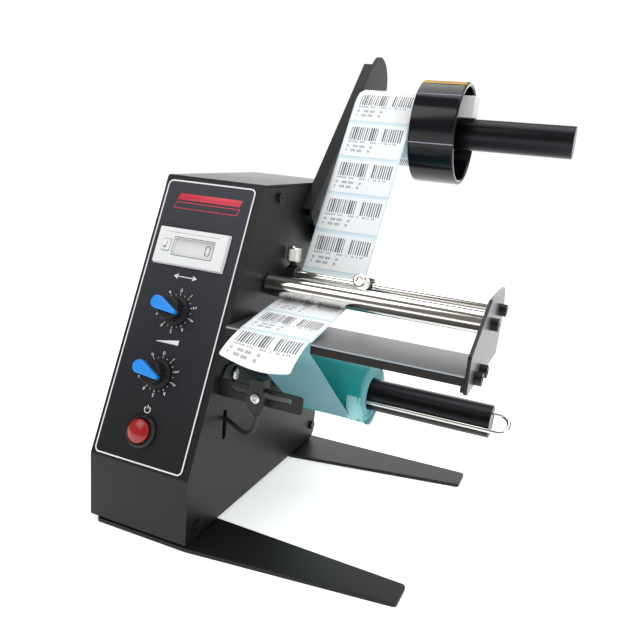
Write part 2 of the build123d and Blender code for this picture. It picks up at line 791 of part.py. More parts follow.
# Roll arm: a channel with a round top, whose flanges face the housing
arm_inner = arm_depth - arm_sheet
flange_start = plate_outer + seam_gap
with BuildPart() as roll_arm:
    with BuildSketch(arm_plane(arm_inner)) as arm_web:
        with Locations((-arm_lower_reach, 0)):
            Rectangle(arm_lower_reach + arm_upper_reach, arm_width, align=(Align.MIN, Align.CENTER))
        fillet(arm_web.vertices().group_by(Axis.X)[0], arm_corner)
        with Locations((arm_upper_reach, 0)):
            Circle(arm_width / 2)
    extrude(amount=arm_sheet)
    with BuildSketch(arm_plane(flange_start)):
        for side in (-1, 1):
            with Locations((-arm_lower_reach + arm_corner, side * (arm_width - arm_sheet) / 2)):
                Rectangle(arm_lower_reach + arm_upper_reach - arm_corner, arm_sheet,
                          align=(Align.MIN, Align.CENTER))
    extrude(amount=arm_depth - flange_start)
    with BuildSketch(arm_plane(arm_inner)):
        Circle(shaft_bolt_radius + hole_play)
        with Locations([(-reach, 0) for reach in arm_screw_reaches]):
            Circle(arm_screw_radius + hole_play)
    extrude(amount=arm_sheet, mode=Mode.SUBTRACT)
roll_arm.part.label = "roll_arm"
export_step(roll_arm.part, "parts/roll_arm.step")

with BuildPart() as arm_spacers:
    for spacer_place in arm_screw_places:
        disc(side_plane(plate_outer), spacer_place, arm_spacer_radius, arm_inner - plate_outer)
        disc(side_plane(plate_outer), spacer_place, arm_screw_radius + hole_play, arm_inner - plate_outer,
             Mode.SUBTRACT)
arm_spacers.part.label = "arm_spacers"
export_step(arm_spacers.part, "parts/arm_spacers.step")

with BuildPart() as arm_screws:
    for screw_place in arm_screw_places:
        button_screw(side_plane(arm_depth), screw_place, arm_screw_radius, arm_screw_head_radius,
                     arm_screw_head, arm_depth - plate_inner + arm_nut, arm_screw_radius / 2)
        nut(side_plane(plate_inner - arm_nut), screw_place, arm_nut_radius, arm_screw_radius, arm_nut)
arm_screws.part.label = "arm_screws"
export_step(arm_screws.part, "parts/arm_screws.step")

# Roll shaft: a tube with a plug at each end, bolted to the arm from inside the channel
with BuildPart() as roll_shaft:
    disc(side_plane(arm_depth), shaft_place, shaft_radius, shaft_end - arm_depth)
    disc(side_plane(arm_depth), shaft_place, shaft_bolt_radius + screw_fit, shaft_bolt_depth, Mode.SUBTRACT)
    chamfer(roll_shaft.faces().sort_by(Axis.X)[-1].outer_wire().edges(), shaft_chamfer)
roll_shaft.part.label = "roll_shaft"
export_step(roll_shaft.part, "parts/roll_shaft.step")

with BuildPart() as shaft_bolt:
    disc(side_plane(arm_inner), shaft_place, shaft_bolt_radius, arm_sheet + shaft_bolt_depth - seam_gap)
    disc(side_plane(arm_inner - shaft_bolt_head), shaft_place, shaft_bolt_head_radius, shaft_bolt_head)
shaft_bolt.part.label = "shaft_bolt"
export_step(shaft_bolt.part, "parts/shaft_bolt.step")

# Label roll on its core
with BuildPart() as label_core:
    disc(side_plane(web_left), shaft_place, core_radius, liner_width)
    disc(side_plane(web_left), shaft_place, shaft_radius + core_play, liner_width, Mode.SUBTRACT)
label_core.part.label = "label_core"
export_step(label_core.part, "parts/label_core.step")

with BuildPart() as label_roll:
    disc(side_plane(web_left + seam_gap / 2), shaft_place, label_roll_radius, liner_width - seam_gap)
    disc(side_plane(web_left + seam_gap / 2), shaft_place, core_radius + bush_fit, liner_width - seam_gap,
         Mode.SUBTRACT)
label_roll.part.label = "label_roll"
export_step(label_roll.part, "parts/label_roll.step")

# Roll stop: a glossy band on a thin disc, with a hub that slides on the shaft and a locking block
with BuildPart() as roll_ring:
    disc(side_plane(ring_left), shaft_place, ring_radius, ring_width)
    disc(side_plane(ring_left + ring_disc), shaft_place, ring_radius - ring_wall, ring_width - ring_disc,
         Mode.SUBTRACT)
    fillet(roll_ring.edges().filter_by(GeomType.CIRCLE).group_by(SortBy.RADIUS)[-1], ring_round)
    disc(side_plane(ring_left), shaft_place, ring_hub_radius, ring_hub_length)
    disc(side_plane(ring_left), shaft_place, shaft_radius + ring_fit, ring_width, Mode.SUBTRACT)
    block_base = (shaft_place[0], shaft_place[1] + shaft_radius + block_gap + block_height / 2)
    block(side_plane(ring_left + ring_disc), block_base, block_width, block_height, ring_width, Mode.SUBTRACT)
roll_ring.part.label = "roll_ring"
export_step(roll_ring.part, "parts/roll_ring.step")

with BuildPart() as ring_block:
    block(side_plane(ring_left + ring_disc), block_base, block_width, block_height, block_length)
    disc(side_plane(ring_left + ring_disc), shaft_place, shaft_radius + block_gap, block_length, Mode.SUBTRACT)
    fillet(ring_block.faces().sort_by(Axis.X)[-1].edges(), block_round)
ring_block.part.label = "ring_block"
export_step(ring_block.part, "parts/ring_block.step")

# End plate that carries the free ends of the roller, the rod and the peel plate
with BuildPart() as end_plate:
    with BuildSketch(side_plane(end_plate_inner)) as end_outline:
        Polygon(*end_plate_corners, align=None)
        fillet(end_outline.vertices(), end_plate_corner)
        with Locations(end_screw_places):
            Circle(end_screw_radius + hole_play, mode=Mode.SUBTRACT)
    extrude(amount=end_plate_sheet)
end_plate.part.label = "end_plate"
export_step(end_plate.part, "parts/end_plate.step")


def cap_screw(plane, place):
    """Socket cap screw whose head stands on a plane and whose shank goes behind it."""
    disc(plane, place, end_screw_head_radius, end_screw_head)
    with BuildSketch(plane.offset(end_screw_head)) as socket:
        with Locations(place):
            RegularPolygon(end_screw_socket, 6)
    extrude(socket.sketch, amount=-end_screw_socket_depth, mode=Mode.SUBTRACT)
    disc(plane, place, end_screw_radius, -end_screw_grip)


with BuildPart() as end_screws:
    inner_screw_plane = Plane(origin=(side_x + plate_inner, front_y, 0), x_dir=(0, 1, 0), z_dir=(-1, 0, 0))
    for screw_y, screw_z in end_screw_places:
        cap_screw(side_plane(end_plate_inner + end_plate_sheet), (screw_y, screw_z))
        cap_screw(inner_screw_plane, (screw_y, -screw_z))
end_screws.part.label = "end_screws"
export_step(end_screws.part, "parts/end_screws.step")


def tapped_rod(place, radius):
    """Rod from the side plate to the end plate, tapped for a screw at each end."""
    disc(side_plane(plate_outer), place, radius, end_plate_inner - plate_outer)
    for rod_end, depth in ((plate_outer, end_screw_grip), (end_plate_inner, -end_screw_grip)):
        disc(side_plane(rod_end), place, end_screw_radius + screw_fit, depth, Mode.SUBTRACT)


with BuildPart() as roller_axle:
    tapped_rod(roller_place, axle_radius)
roller_axle.part.label = "roller_axle"
export_step(roller_axle.part, "parts/roller_axle.step")

with BuildPart() as guide_rod:
    tapped_rod(rod_place, rod_radius)
guide_rod.part.label = "guide_rod"
export_step(guide_rod.part, "parts/guide_rod.step")

# Guide roller: a polished tube that turns on its axle in two flanged bushes
roller_start = plate_outer + roller_gap + bush_flange
roller_length = end_plate_inner - plate_outer - 2 * (roller_gap + bush_flange)
with BuildPart() as guide_roller:
    disc(side_plane(roller_start), roller_place, roller_radius, roller_length)
    disc(side_plane(roller_start), roller_place, roller_bore, roller_length, Mode.SUBTRACT)
guide_roller.part.label = "guide_roller"
export_step(guide_roller.part, "parts/guide_roller.step")

with BuildPart() as roller_bushes:
    for bush_start, bush_sense in ((roller_start, 1), (roller_start + roller_length, -1)):
        disc(side_plane(bush_start), roller_place, bush_flange_radius, -bush_flange * bush_sense)
        disc(side_plane(bush_start), roller_place, roller_bore - bush_fit, bush_length * bush_sense)
    disc(side_plane(plate_outer), roller_place, axle_radius + running_fit, end_plate_inner, Mode.SUBTRACT)
roller_bushes.part.label = "roller_bushes"
export_step(roller_bushes.part, "parts/roller_bushes.step")

# Guide collars on the rod, one each side of the liner, each locked by a knurled thumb screw
left_collar_start = web_left - collar_gap - collar_width
right_collar_start = web_right + collar_gap


def thumb_plane(start, angle, height):
    """Plane across a thumb screw, at a height above the rod's axis."""
    turn = math.radians(angle)
    direction = Vector(0, math.cos(turn), math.sin(turn))
    origin = Vector(side_x + start + collar_width / 2, front_y + rod_place[0], rod_place[1])
    return Plane(origin=origin + direction * height, x_dir=(1, 0, 0), z_dir=direction)


def guide_collar(start, angle):
    """Collar that slides on the rod, with a tapped hole for its thumb screw."""
    disc(side_plane(start), rod_place, collar_radius, collar_width)
    disc(side_plane(start), rod_place, rod_radius + collar_fit, collar_width, Mode.SUBTRACT)
    disc(thumb_plane(start, angle, 0), (0, 0), thumb_screw_radius + running_fit, collar_radius * 2,
         Mode.SUBTRACT)


def thumb_screw(start, angle):
    """Knurled head on a short neck, with a plain point that bears on the rod."""
    disc(thumb_plane(start, angle, rod_radius + collar_fit), (0, 0), thumb_screw_radius, collar_radius)
    disc(thumb_plane(start, angle, collar_radius + collar_fit), (0, 0), thumb_neck_radius, thumb_neck)
    with BuildSketch(thumb_plane(start, angle, collar_radius + collar_fit + thumb_neck)) as head:
        Circle(thumb_head_radius)
        with PolarLocations(thumb_head_radius, thumb_grooves):
            Circle(thumb_groove_radius, mode=Mode.SUBTRACT)
    extrude(head.sketch, amount=thumb_head)


with BuildPart() as left_collar:
    guide_collar(left_collar_start, left_thumb_angle)
left_collar.part.label = "left_collar"
export_step(left_collar.part, "parts/left_collar.step")

with BuildPart() as left_thumb_screw:
    thumb_screw(left_collar_start, left_thumb_angle)
left_thumb_screw.part.label = "left_thumb_screw"
export_step(left_thumb_screw.part, "parts/left_thumb_screw.step")

with BuildPart() as right_collar:
    guide_collar(right_collar_start, right_thumb_angle)
right_collar.part.label = "right_collar"
export_step(right_collar.part, "parts/right_collar.step")

with BuildPart() as right_thumb_screw:
    thumb_screw(right_collar_start, right_thumb_angle)
right_thumb_screw.part.label = "right_thumb_screw"
export_step(right_thumb_screw.part, "parts/right_thumb_screw.step")

# Peel plate: a bent sheet with a sharp front edge and a tapped tab across each end
with BuildPart() as peel_plate:
    with BuildSketch(side_plane(seam_gap)) as peel_section:
        Polygon((peel_front, peel_top), (peel_back, peel_top), (peel_back, peel_top - peel_back_lip),
                (peel_back - peel_sheet, peel_top - peel_back_lip), (peel_back - peel_sheet, peel_top - peel_sheet),
                (peel_front + peel_sheet, peel_top - peel_sheet), (peel_front + peel_sheet, peel_top - peel_lip),
                (peel_front, peel_top - peel_lip), align=None)
        rounded = [peel_section.vertices().sort_by_distance(corner)[0]
                   for corner in ((peel_front, peel_top), (peel_back, peel_top), (peel_front, peel_top - peel_lip))]
        fillet(rounded, peel_nose_radius)
    extrude(amount=end_plate_inner - seam_gap)
    for tab_start, tab_sense in ((plate_outer, 1), (end_plate_inner, -1)):
        with BuildSketch(side_plane(tab_start)) as tab:
            with Locations((peel_front + peel_tab_setback, peel_top - peel_sheet)):
                Rectangle(peel_back - peel_front - peel_sheet - peel_tab_setback, peel_tab_height,
                          align=(Align.MIN, Align.MAX))
        extrude(tab.sketch, amount=peel_tab * tab_sense)
    for screw_place in peel_screw_places:
        for tab_start, tab_sense in ((plate_outer, 1), (end_plate_inner, -1)):
            disc(side_plane(tab_start), screw_place, end_screw_radius + screw_fit, peel_tab * tab_sense,
                 Mode.SUBTRACT)
peel_plate.part.label = "peel_plate"
export_step(peel_plate.part, "parts/peel_plate.step")


# Label path from the roll, behind the rod, under the roller and over the peel plate's front edge
nose_place = (peel_front + peel_nose_radius, peel_top - peel_nose_radius)
lip_place = (peel_front + peel_nose_radius, peel_top - peel_lip + peel_nose_radius)


def straight_run(start, start_radius, end, end_radius):
    """Touching points of the straight run from one circle to the next, in (y, z).

    A radius is positive where the run turns anticlockwise round its circle, seen from +X.
    """
    gap_y = end[0] - start[0]
    gap_z = end[1] - start[1]
    turn = math.atan2(gap_z, gap_y) - math.acos((start_radius - end_radius) / math.hypot(gap_y, gap_z))
    return [(place[0] + radius * math.cos(turn), place[1] + radius * math.sin(turn))
            for place, radius in ((start, start_radius), (end, end_radius))]


def crossing(first, second):
    """Point where two straight runs, each given by two points, would meet."""
    (ay, az), (by, bz) = first
    (cy, cz), (dy, dz) = second
    share = ((cy - ay) * (dz - cz) - (cz - az) * (dy - cy)) / ((by - ay) * (dz - cz) - (bz - az) * (dy - cy))
    return (ay + share * (by - ay), az + share * (bz - az))


def web_circles(side):
    """Signed circles that a layer of the web follows; side is its distance out from the liner's middle."""
    outer = web_play + liner_thickness / 2 + side
    inner = web_offset - side
    return [(shaft_place, label_roll_radius + outer), (rod_place, -(rod_radius + inner)),
            (roller_place, -(roller_radius + inner)), (nose_place, peel_nose_radius + outer),
            (lip_place, peel_nose_radius + outer), (takeup_place, liner_roll_radius + outer)]


def web_runs(side):
    """Straight runs of a layer of the web, in the order that it travels."""
    circles = web_circles(side)
    return [straight_run(*circles[index], *circles[index + 1]) for index in range(len(circles) - 1)]


def web_line(side):
    """Middle line of a layer from the label roll to the peel edge."""
    runs = web_runs(side)
    circles = web_circles(side)
    with BuildLine(side_plane(web_middle)) as line:
        FilletPolyline(runs[0][0], crossing(runs[0], runs[1]), crossing(runs[1], runs[2]), runs[2][1],
                       radius=[-circles[1][1], -circles[2][1]])
    return line.wire()


def wrap(circle, arrive, leave):
    """Anticlockwise arc round a circle, from one touching point to the next."""
    centre, radius = circle
    start = math.degrees(math.atan2(arrive[1] - centre[1], arrive[0] - centre[0]))
    end = math.degrees(math.atan2(leave[1] - centre[1], leave[0] - centre[0]))
    CenterArc(centre, radius, start, (end - start) % 360)


def strip(line, width, thickness):
    """Flat strip that follows a line across the machine."""
    with BuildSketch(Plane(origin=line @ 0, x_dir=(1, 0, 0), z_dir=line % 0)) as section:
        Rectangle(width, thickness)
    sweep(section.sketch, path=line)


with BuildPart() as label_web:
    strip(web_line(0), liner_width, liner_thickness)
label_web.part.label = "label_web"
export_step(label_web.part, "parts/label_web.step")

# Labels on the web, set back from the peel edge at their pitch, and the one that has come off
# the liner and droops in front of the edge
label_side = (liner_thickness + label_thickness) / 2
label_line = web_line(label_side)
label_pitch = label_length + label_gap
label_count = int((label_line.length - label_gap) / label_pitch)
with BuildPart() as labels:
    for place in range(label_count):
        label_end = 1 - (label_gap + place * label_pitch) / label_line.length
        label_start = label_end - label_length / label_line.length
        strip(label_line.trim(label_start, label_end), label_width, label_thickness)
    peeled_run = web_runs(label_side)[2]
    peeled_direction = (peeled_run[1][0] - peeled_run[0][0], peeled_run[1][1] - peeled_run[0][1])
    with BuildLine(side_plane(web_middle)) as droop:
        JernArc(peeled_run[1], peeled_direction, peeled_droop_radius,
                math.degrees(label_length / peeled_droop_radius))
    strip(droop.wire(), label_width, label_thickness)
labels.part.label = "labels"
export_step(labels.part, "parts/labels.step")

# Empty liner from the peel edge back to the take-up roll
with BuildPart() as liner_web:
    bare_runs = web_runs(0)
    nose_circle, lip_circle = web_circles(0)[3:5]
    with BuildLine(side_plane(web_middle)) as bare_line:
        wrap(nose_circle, bare_runs[2][1], bare_runs[3][0])
        Line(*bare_runs[3])
        wrap(lip_circle, bare_runs[3][1], bare_runs[4][0])
        Line(*bare_runs[4])
    strip(bare_line.wire(), liner_width, liner_thickness)
liner_web.part.label = "liner_web"
export_step(liner_web.part, "parts/liner_web.step")

# Take-up spindle: a tube on the motor's shaft, with an end plug for the clip's inner leg
clip_inner_place = (takeup_place[0] + clip_inner_shift[0], takeup_place[1] + clip_inner_shift[1])
clip_outer_place = (takeup_place[0] + clip_outer_shift[0], takeup_place[1] + clip_outer_shift[1])
with BuildPart() as takeup_tube:
    disc(side_plane(takeup_left), takeup_place, takeup_radius, takeup_end - takeup_left)
    disc(side_plane(takeup_left + takeup_hub), takeup_place, takeup_radius - takeup_wall,
         takeup_end - takeup_left - takeup_hub, Mode.SUBTRACT)
    disc(side_plane(takeup_left), takeup_place, motor_shaft_radius + motor_shaft_fit, takeup_hub,
         Mode.SUBTRACT)
takeup_tube.part.label = "takeup_tube"
export_step(takeup_tube.part, "parts/takeup_tube.step")

with BuildPart() as takeup_end_plug:
    disc(side_plane(takeup_end - takeup_plug), takeup_place, takeup_radius - takeup_wall - plug_fit,
         takeup_plug)
    disc(side_plane(takeup_end - takeup_plug), clip_inner_place, wire_radius + clip_hole_fit, takeup_plug,
         Mode.SUBTRACT)
takeup_end_plug.part.label = "takeup_end_plug"
export_step(takeup_end_plug.part, "parts/takeup_end_plug.step")

# Liner clip: a sprung wire with one leg along the tube, under the liner, and one in the end plug
clip_spread = math.dist(clip_outer_place, clip_inner_place)
clip_reach = clip_loop_start + clip_spread / 2
with BuildPart() as takeup_clip:
    with BuildLine() as clip_line:
        outer_leg = [(side_x + x, front_y + clip_outer_place[0], clip_outer_place[1])
                     for x in (clip_left, clip_loop_start)]
        inner_leg = [(side_x + x, front_y + clip_inner_place[0], clip_inner_place[1])
                     for x in (clip_loop_start, takeup_end - takeup_plug + plug_fit)]
        loop_end = (side_x + clip_reach, front_y + (clip_outer_place[0] + clip_inner_place[0]) / 2,
                    (clip_outer_place[1] + clip_inner_place[1]) / 2)
        Line(*outer_leg)
        ThreePointArc(outer_leg[1], loop_end, inner_leg[0])
        Line(*inner_leg)
    with BuildSketch(side_plane(clip_left)) as wire_section:
        with Locations(clip_outer_place):
            Circle(wire_radius)
    sweep(wire_section.sketch, path=clip_line.wire())
takeup_clip.part.label = "takeup_clip"
export_step(takeup_clip.part, "parts/takeup_clip.step")

with BuildPart() as liner_roll:
    with BuildSketch(side_plane(liner_roll_left)) as wound_section:
        with Locations(takeup_place):
            Circle(liner_roll_radius)
            Circle(takeup_radius + liner_roll_play, mode=Mode.SUBTRACT)
        with BuildSketch(Plane.XY, mode=Mode.PRIVATE) as leg_room:
            with Locations(takeup_place, clip_outer_place):
                Circle(wire_radius + liner_roll_play)
            make_hull()
        add(leg_room.sketch, mode=Mode.SUBTRACT)
    extrude(amount=liner_roll_right - liner_roll_left)
liner_roll.part.label = "liner_roll"
export_step(liner_roll.part, "parts/liner_roll.step")

# Gear motor inside the housing, with its shaft and the screws that hold it to the side plate
with BuildPart() as gear_motor:
    disc(side_plane(plate_inner), takeup_place, gearbox_radius, -gearbox_length)
    disc(side_plane(plate_inner), takeup_place, gearbox_boss_radius, gearbox_boss)
    disc(side_plane(plate_inner - gearbox_length), takeup_place, motor_radius, -motor_length)
    disc(side_plane(plate_inner - gearbox_length - motor_length), takeup_place, motor_rear_boss_radius,
         -motor_rear_boss)
    disc(side_plane(plate_inner + gearbox_boss), takeup_place, motor_shaft_radius + running_fit,
         -gearbox_boss - motor_shaft_inside, Mode.SUBTRACT)
    for screw_place in motor_screw_spots:
        disc(side_plane(plate_inner), screw_place, motor_screw_radius + screw_fit, -motor_screw_grip,
             Mode.SUBTRACT)
gear_motor.part.label = "gear_motor"
export_step(gear_motor.part, "parts/gear_motor.step")

with BuildPart() as motor_shaft:
    disc(side_plane(plate_inner - motor_shaft_inside + running_fit), takeup_place, motor_shaft_radius,
         motor_shaft_inside - running_fit - plate_inner + takeup_left + takeup_hub - takeup_wall)
motor_shaft.part.label = "motor_shaft"
export_step(motor_shaft.part, "parts/motor_shaft.step")

with BuildPart() as motor_screws:
    for screw_place in motor_screw_spots:
        button_screw(side_plane(plate_outer), screw_place, motor_screw_radius, motor_screw_head_radius,
                     motor_screw_head, side_sheet + motor_screw_grip - screw_fit, motor_screw_radius / 2)
motor_screws.part.label = "motor_screws"
export_step(motor_screws.part, "parts/motor_screws.step")

# Sensor bracket: a slotted foot on the side plate, folded into a slotted bar across the machine
with BuildPart() as sensor_bracket:
    with BuildSketch(side_plane(plate_outer)) as foot_outline:
        Polygon((bar_front, bar_bottom), (bracket_foot_back, bar_bottom), (bracket_foot_back, bracket_foot_top),
                (bar_front + bracket_foot_top - bar_top, bracket_foot_top), (bar_front, bar_top), align=None)
        fillet(foot_outline.vertices().sort_by(Axis.X)[-2:], bar_corner)
        with Locations(bracket_screw_place):
            SlotOverall(bracket_slot_length, bracket_slot_width, rotation=90, mode=Mode.SUBTRACT)
    extrude(amount=bar_sheet)
    with BuildSketch(front_plane(bar_front + bar_sheet)) as bar_outline:
        with Locations((plate_outer, bar_bottom)):
            Rectangle(bar_end - plate_outer, bar_top - bar_bottom, align=Align.MIN)
        fillet(bar_outline.vertices().sort_by(Axis.X)[-2:], bar_corner)
        with Locations(((bar_slot_start + bar_slot_end) / 2, bar_slot_height)):
            SlotOverall(bar_slot_end - bar_slot_start, bar_slot_width, mode=Mode.SUBTRACT)
    extrude(amount=bar_sheet)
sensor_bracket.part.label = "sensor_bracket"
export_step(sensor_bracket.part, "parts/sensor_bracket.step")

with BuildPart() as bracket_screw:
    button_screw(side_plane(plate_outer + bar_sheet), bracket_screw_place, bracket_screw_radius,
                 bracket_screw_head_radius, bracket_screw_head, bar_sheet + side_sheet, bracket_screw_radius / 2)
bracket_screw.part.label = "bracket_screw"
export_step(bracket_screw.part, "parts/bracket_screw.step")

# Sensor: a moulded body that slides along the bar, with its eye on top under the label's tip
sensor_back = bar_front - sensor_gap
sensor_round = sensor_bottom + sensor_width / 2
sensor_screw_place = (sensor_middle, bar_slot_height)
with BuildPart() as sensor_body:
    with BuildSketch(front_plane(sensor_back)):
        with Locations((sensor_middle, sensor_round)):
            Circle(sensor_width / 2)
            Rectangle(sensor_width, sensor_top - sensor_round, align=(Align.CENTER, Align.MIN))
    extrude(amount=sensor_depth)
    block(front_plane(sensor_head_back), (sensor_middle, (sensor_top + sensor_head_top) / 2), sensor_head_width,
          sensor_head_top - sensor_top, sensor_head_back - sensor_back + sensor_depth)
    lens_place = (sensor_middle, sensor_back - sensor_depth / 2)
    disc(level_plane(sensor_head_top), lens_place, sensor_lens_radius, sensor_lens)
    disc(level_plane(sensor_round), lens_place, sensor_boss_radius, sensor_bottom - sensor_boss - sensor_round)
    disc(front_plane(sensor_back), sensor_screw_place, sensor_screw_radius + screw_fit, sensor_depth,
         Mode.SUBTRACT)
sensor_body.part.label = "sensor_body"
export_step(sensor_body.part, "parts/sensor_body.step")

with BuildPart() as sensor_screw:
    nut_face = bar_front + bar_sheet + sensor_gap
    button_screw(front_plane(sensor_back - sensor_depth), sensor_screw_place, sensor_screw_radius,
                 sensor_screw_head_radius, sensor_screw_head, nut_face + sensor_nut - sensor_back + sensor_depth,
                 sensor_screw_radius / 2)
    nut(front_plane(nut_face + sensor_nut), sensor_screw_place, sensor_nut_radius, sensor_screw_radius,
        sensor_nut)
sensor_screw.part.label = "sensor_screw"
export_step(sensor_screw.part, "parts/sensor_screw.step")

# Sensor lead: down from the sensor, through the slot in the side plate and back to the control board
socket_along, socket_up, socket_width = board_parts[0][:3]
lead_end_x = board_face + lead_end_rise
lead_end_y = board_front + socket_along - socket_width / 2 - lead_end_gap
lead_end_z = board_bottom + socket_up
lead_points = [(31.4, 31.1, 96.4), (31.4, 31.1, 89.0), (27.6, 31.9, 82.6), (20.6, 34.4, 79.4),
               (11.8, 38.6, 80.2), (1.2, 43.9, 82.2), (-12.0, 45.6, 81.2), (-29.0, 58.0, 85.0),
               (-47.0, 75.0, 96.0), (lead_end_x, lead_end_y - lead_end_run, lead_end_z),
               (lead_end_x, lead_end_y, lead_end_z)]
lead_route = [Vector(side_x + x, front_y + y, z) for x, y, z in lead_points]
lead_radii = []
for before, corner, after in zip(lead_route, lead_route[1:], lead_route[2:]):
    half_turn_angle = math.radians((corner - before).get_angle(after - corner)) / 2
    shorter_run = min((corner - before).length, (after - corner).length)
    lead_radii.append(0.45 * shorter_run / math.tan(half_turn_angle))
with BuildPart() as sensor_lead:
    with BuildLine() as lead_line:
        FilletPolyline(*lead_route, radius=lead_radii)
    with BuildSketch(Plane(origin=lead_line.wire() @ 0, z_dir=lead_line.wire() % 0)) as lead_section:
        Circle(lead_radius)
    sweep(lead_section.sketch, path=lead_line.wire())
sensor_lead.part.label = "sensor_lead"
export_step(sensor_lead.part, "parts/sensor_lead.step")
print("lead radii", [round(radius, 1) for radius in lead_radii], "length", round(lead_line.wire().length, 1))
print("lead volume", round(sensor_lead.part.volume, 1), "section times length",
      round(math.pi * lead_radius ** 2 * lead_line.wire().length, 1))

# Control board on spacers off the left side plate, with its larger parts and the lead's socket
with BuildPart() as control_board:
    with BuildSketch(side_plane(left_inner + board_spacer)):
        with Locations((board_front, board_bottom)):
            Rectangle(board_back - board_front, board_top - board_bottom, align=Align.MIN)
    extrude(amount=board_thickness)
    for part_y, part_z, part_width, part_height, part_rise in board_parts:
        block(side_plane(board_face), (board_front + part_y, board_bottom + part_z), part_width, part_height,
              part_rise)
    for part_y, part_z, can_radius, can_rise in board_cans:
        disc(side_plane(board_face), (board_front + part_y, board_bottom + part_z), can_radius, can_rise)
control_board.part.label = "control_board"
export_step(control_board.part, "parts/control_board.step")

# Transformer on the floor of the housing
with BuildPart() as transformer:
    transformer_floor = foot_thickness + cover_sheet
    transformer_middle = (housing_middle, transformer_setback)
    core_x, core_y, core_z = transformer_core
    coil_x, coil_y, coil_z = transformer_coil
    block(level_plane(transformer_floor), transformer_middle, core_x, transformer_flange_length,
          transformer_flange)
    block(level_plane(transformer_floor), transformer_middle, core_x, core_y, core_z)
    block(level_plane(transformer_floor + (core_z - coil_z) / 2), transformer_middle, coil_x, coil_y, coil_z)
transformer.part.label = "transformer"
export_step(transformer.part, "parts/transformer.step")

# Mains inlet in the back, with a sunk socket and three pins
with BuildPart() as power_inlet:
    block(front_plane(housing_depth + inlet_flange), inlet_place, inlet_flange_width, inlet_flange_height,
          inlet_flange)
    fillet(power_inlet.edges().filter_by(Axis.Y), inlet_corner)
    block(front_plane(housing_depth), inlet_place, inlet_body_width, inlet_body_height, inlet_body_depth)
    with BuildSketch(front_plane(housing_depth + inlet_flange)) as socket_outline:
        with Locations(inlet_place):
            Rectangle(inlet_socket_width, inlet_socket_height)
        chamfer(socket_outline.vertices().group_by(Axis.Y)[-1], inlet_corner)
    extrude(socket_outline.sketch, amount=inlet_socket_depth, mode=Mode.SUBTRACT)
    for side, rise in ((-1, -inlet_pin_drop), (0, inlet_pin_rise), (1, -inlet_pin_drop)):
        block(front_plane(housing_depth + inlet_flange - inlet_socket_depth),
              (inlet_place[0] + side * inlet_pin_spread, inlet_place[1] + rise), inlet_pin_width,
              inlet_pin_height, -inlet_pin_reach)
power_inlet.part.label = "power_inlet"
export_step(power_inlet.part, "parts/power_inlet.step")
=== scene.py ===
import json
import math

import bmesh
import bpy
import numpy as np
from mathutils import Matrix, Vector


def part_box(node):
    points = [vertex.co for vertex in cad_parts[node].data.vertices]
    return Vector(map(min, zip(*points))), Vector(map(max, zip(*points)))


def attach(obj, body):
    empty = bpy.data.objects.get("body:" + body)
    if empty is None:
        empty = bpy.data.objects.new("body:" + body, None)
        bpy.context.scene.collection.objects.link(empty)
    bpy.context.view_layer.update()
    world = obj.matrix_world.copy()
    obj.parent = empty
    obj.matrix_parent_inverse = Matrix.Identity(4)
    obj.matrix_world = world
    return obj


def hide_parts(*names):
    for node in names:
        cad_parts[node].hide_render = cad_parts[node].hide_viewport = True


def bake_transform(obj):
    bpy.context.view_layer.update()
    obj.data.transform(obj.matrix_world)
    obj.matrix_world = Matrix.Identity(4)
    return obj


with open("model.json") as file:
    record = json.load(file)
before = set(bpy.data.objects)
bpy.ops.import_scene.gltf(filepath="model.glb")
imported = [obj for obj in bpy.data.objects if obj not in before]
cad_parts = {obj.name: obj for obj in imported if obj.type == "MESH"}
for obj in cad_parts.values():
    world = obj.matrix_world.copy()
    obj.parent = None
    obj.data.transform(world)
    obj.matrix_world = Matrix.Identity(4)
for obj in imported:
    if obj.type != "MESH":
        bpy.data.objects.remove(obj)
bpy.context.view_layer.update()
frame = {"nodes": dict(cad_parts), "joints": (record.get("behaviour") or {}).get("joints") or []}        # bodies, nodes, joints and the record of the label dispenser
nodes = frame["nodes"]
scene = bpy.context.scene
print("frame loaded:", len(nodes), "nodes")

# Places are millimetres from the housing's side face, its front and the floor
corner = np.array([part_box("front_cover")[1].x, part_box("front_cover")[0].y, 0.0])


def toFrame(points):     # those millimetres to the frame's metres
    return corner + np.asarray(points, float) / 1000


def fromFrame(points):
    return (np.asarray(points, float) - corner) * 1000


def boxOf(node):         # lowest and highest corner of a node
    return fromFrame([tuple(end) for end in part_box(node)])


def middleOf(node):
    return boxOf(node).mean(0)


def spanOf(node):        # lowest and highest x
    return boxOf(node)[:, 0]


def radiusOf(node):      # half a node's height
    return np.ptp(boxOf(node)[:, 2]) / 2


def gridOf(x, y, z):     # one array of points from three coordinates that widen to each other
    return np.stack(np.broadcast_arrays(x, y, z), -1)


def aroundX(x, yz, radius, angle):       # points at a radius and an angle about an axis along x
    return gridOf(x, yz[0] + radius * np.cos(angle), yz[1] + radius * np.sin(angle))


def read(values, key, width, kind=np.float32):      # a whole column of mesh data
    column = np.empty(len(values) * width, kind)
    values.foreach_get(key, column)
    return column.reshape(-1, width)


shaftYz, rodYz, rollerYz, takeupYz = (middleOf(node)[1:] for node in
                                      ("roll_shaft", "guide_rod", "guide_roller", "takeup_tube"))
jointNamed = {joint["name"]: joint for joint in frame["joints"]}

# The sloping panel: its x is the frame's, its v runs up the slope from the knee and its height stands off it
panelOut = np.array(jointNamed["length_turn"]["axis"], float)
panelAxes = np.array([(1.0, 0.0, 0.0), (0.0, panelOut[2], -panelOut[1]), panelOut])
panel = {"knee": (0.0, 0.0, 52.0), "ink": 0.06, "printAt": 0.46}


def onPanel(flat):       # (x, v, height) to millimetres
    return panel["knee"] + np.asarray(flat, float) @ panelAxes


def fromPanel(points):   # millimetres to (x, v, height)
    return (points - np.array(panel["knee"])) @ panelAxes.T


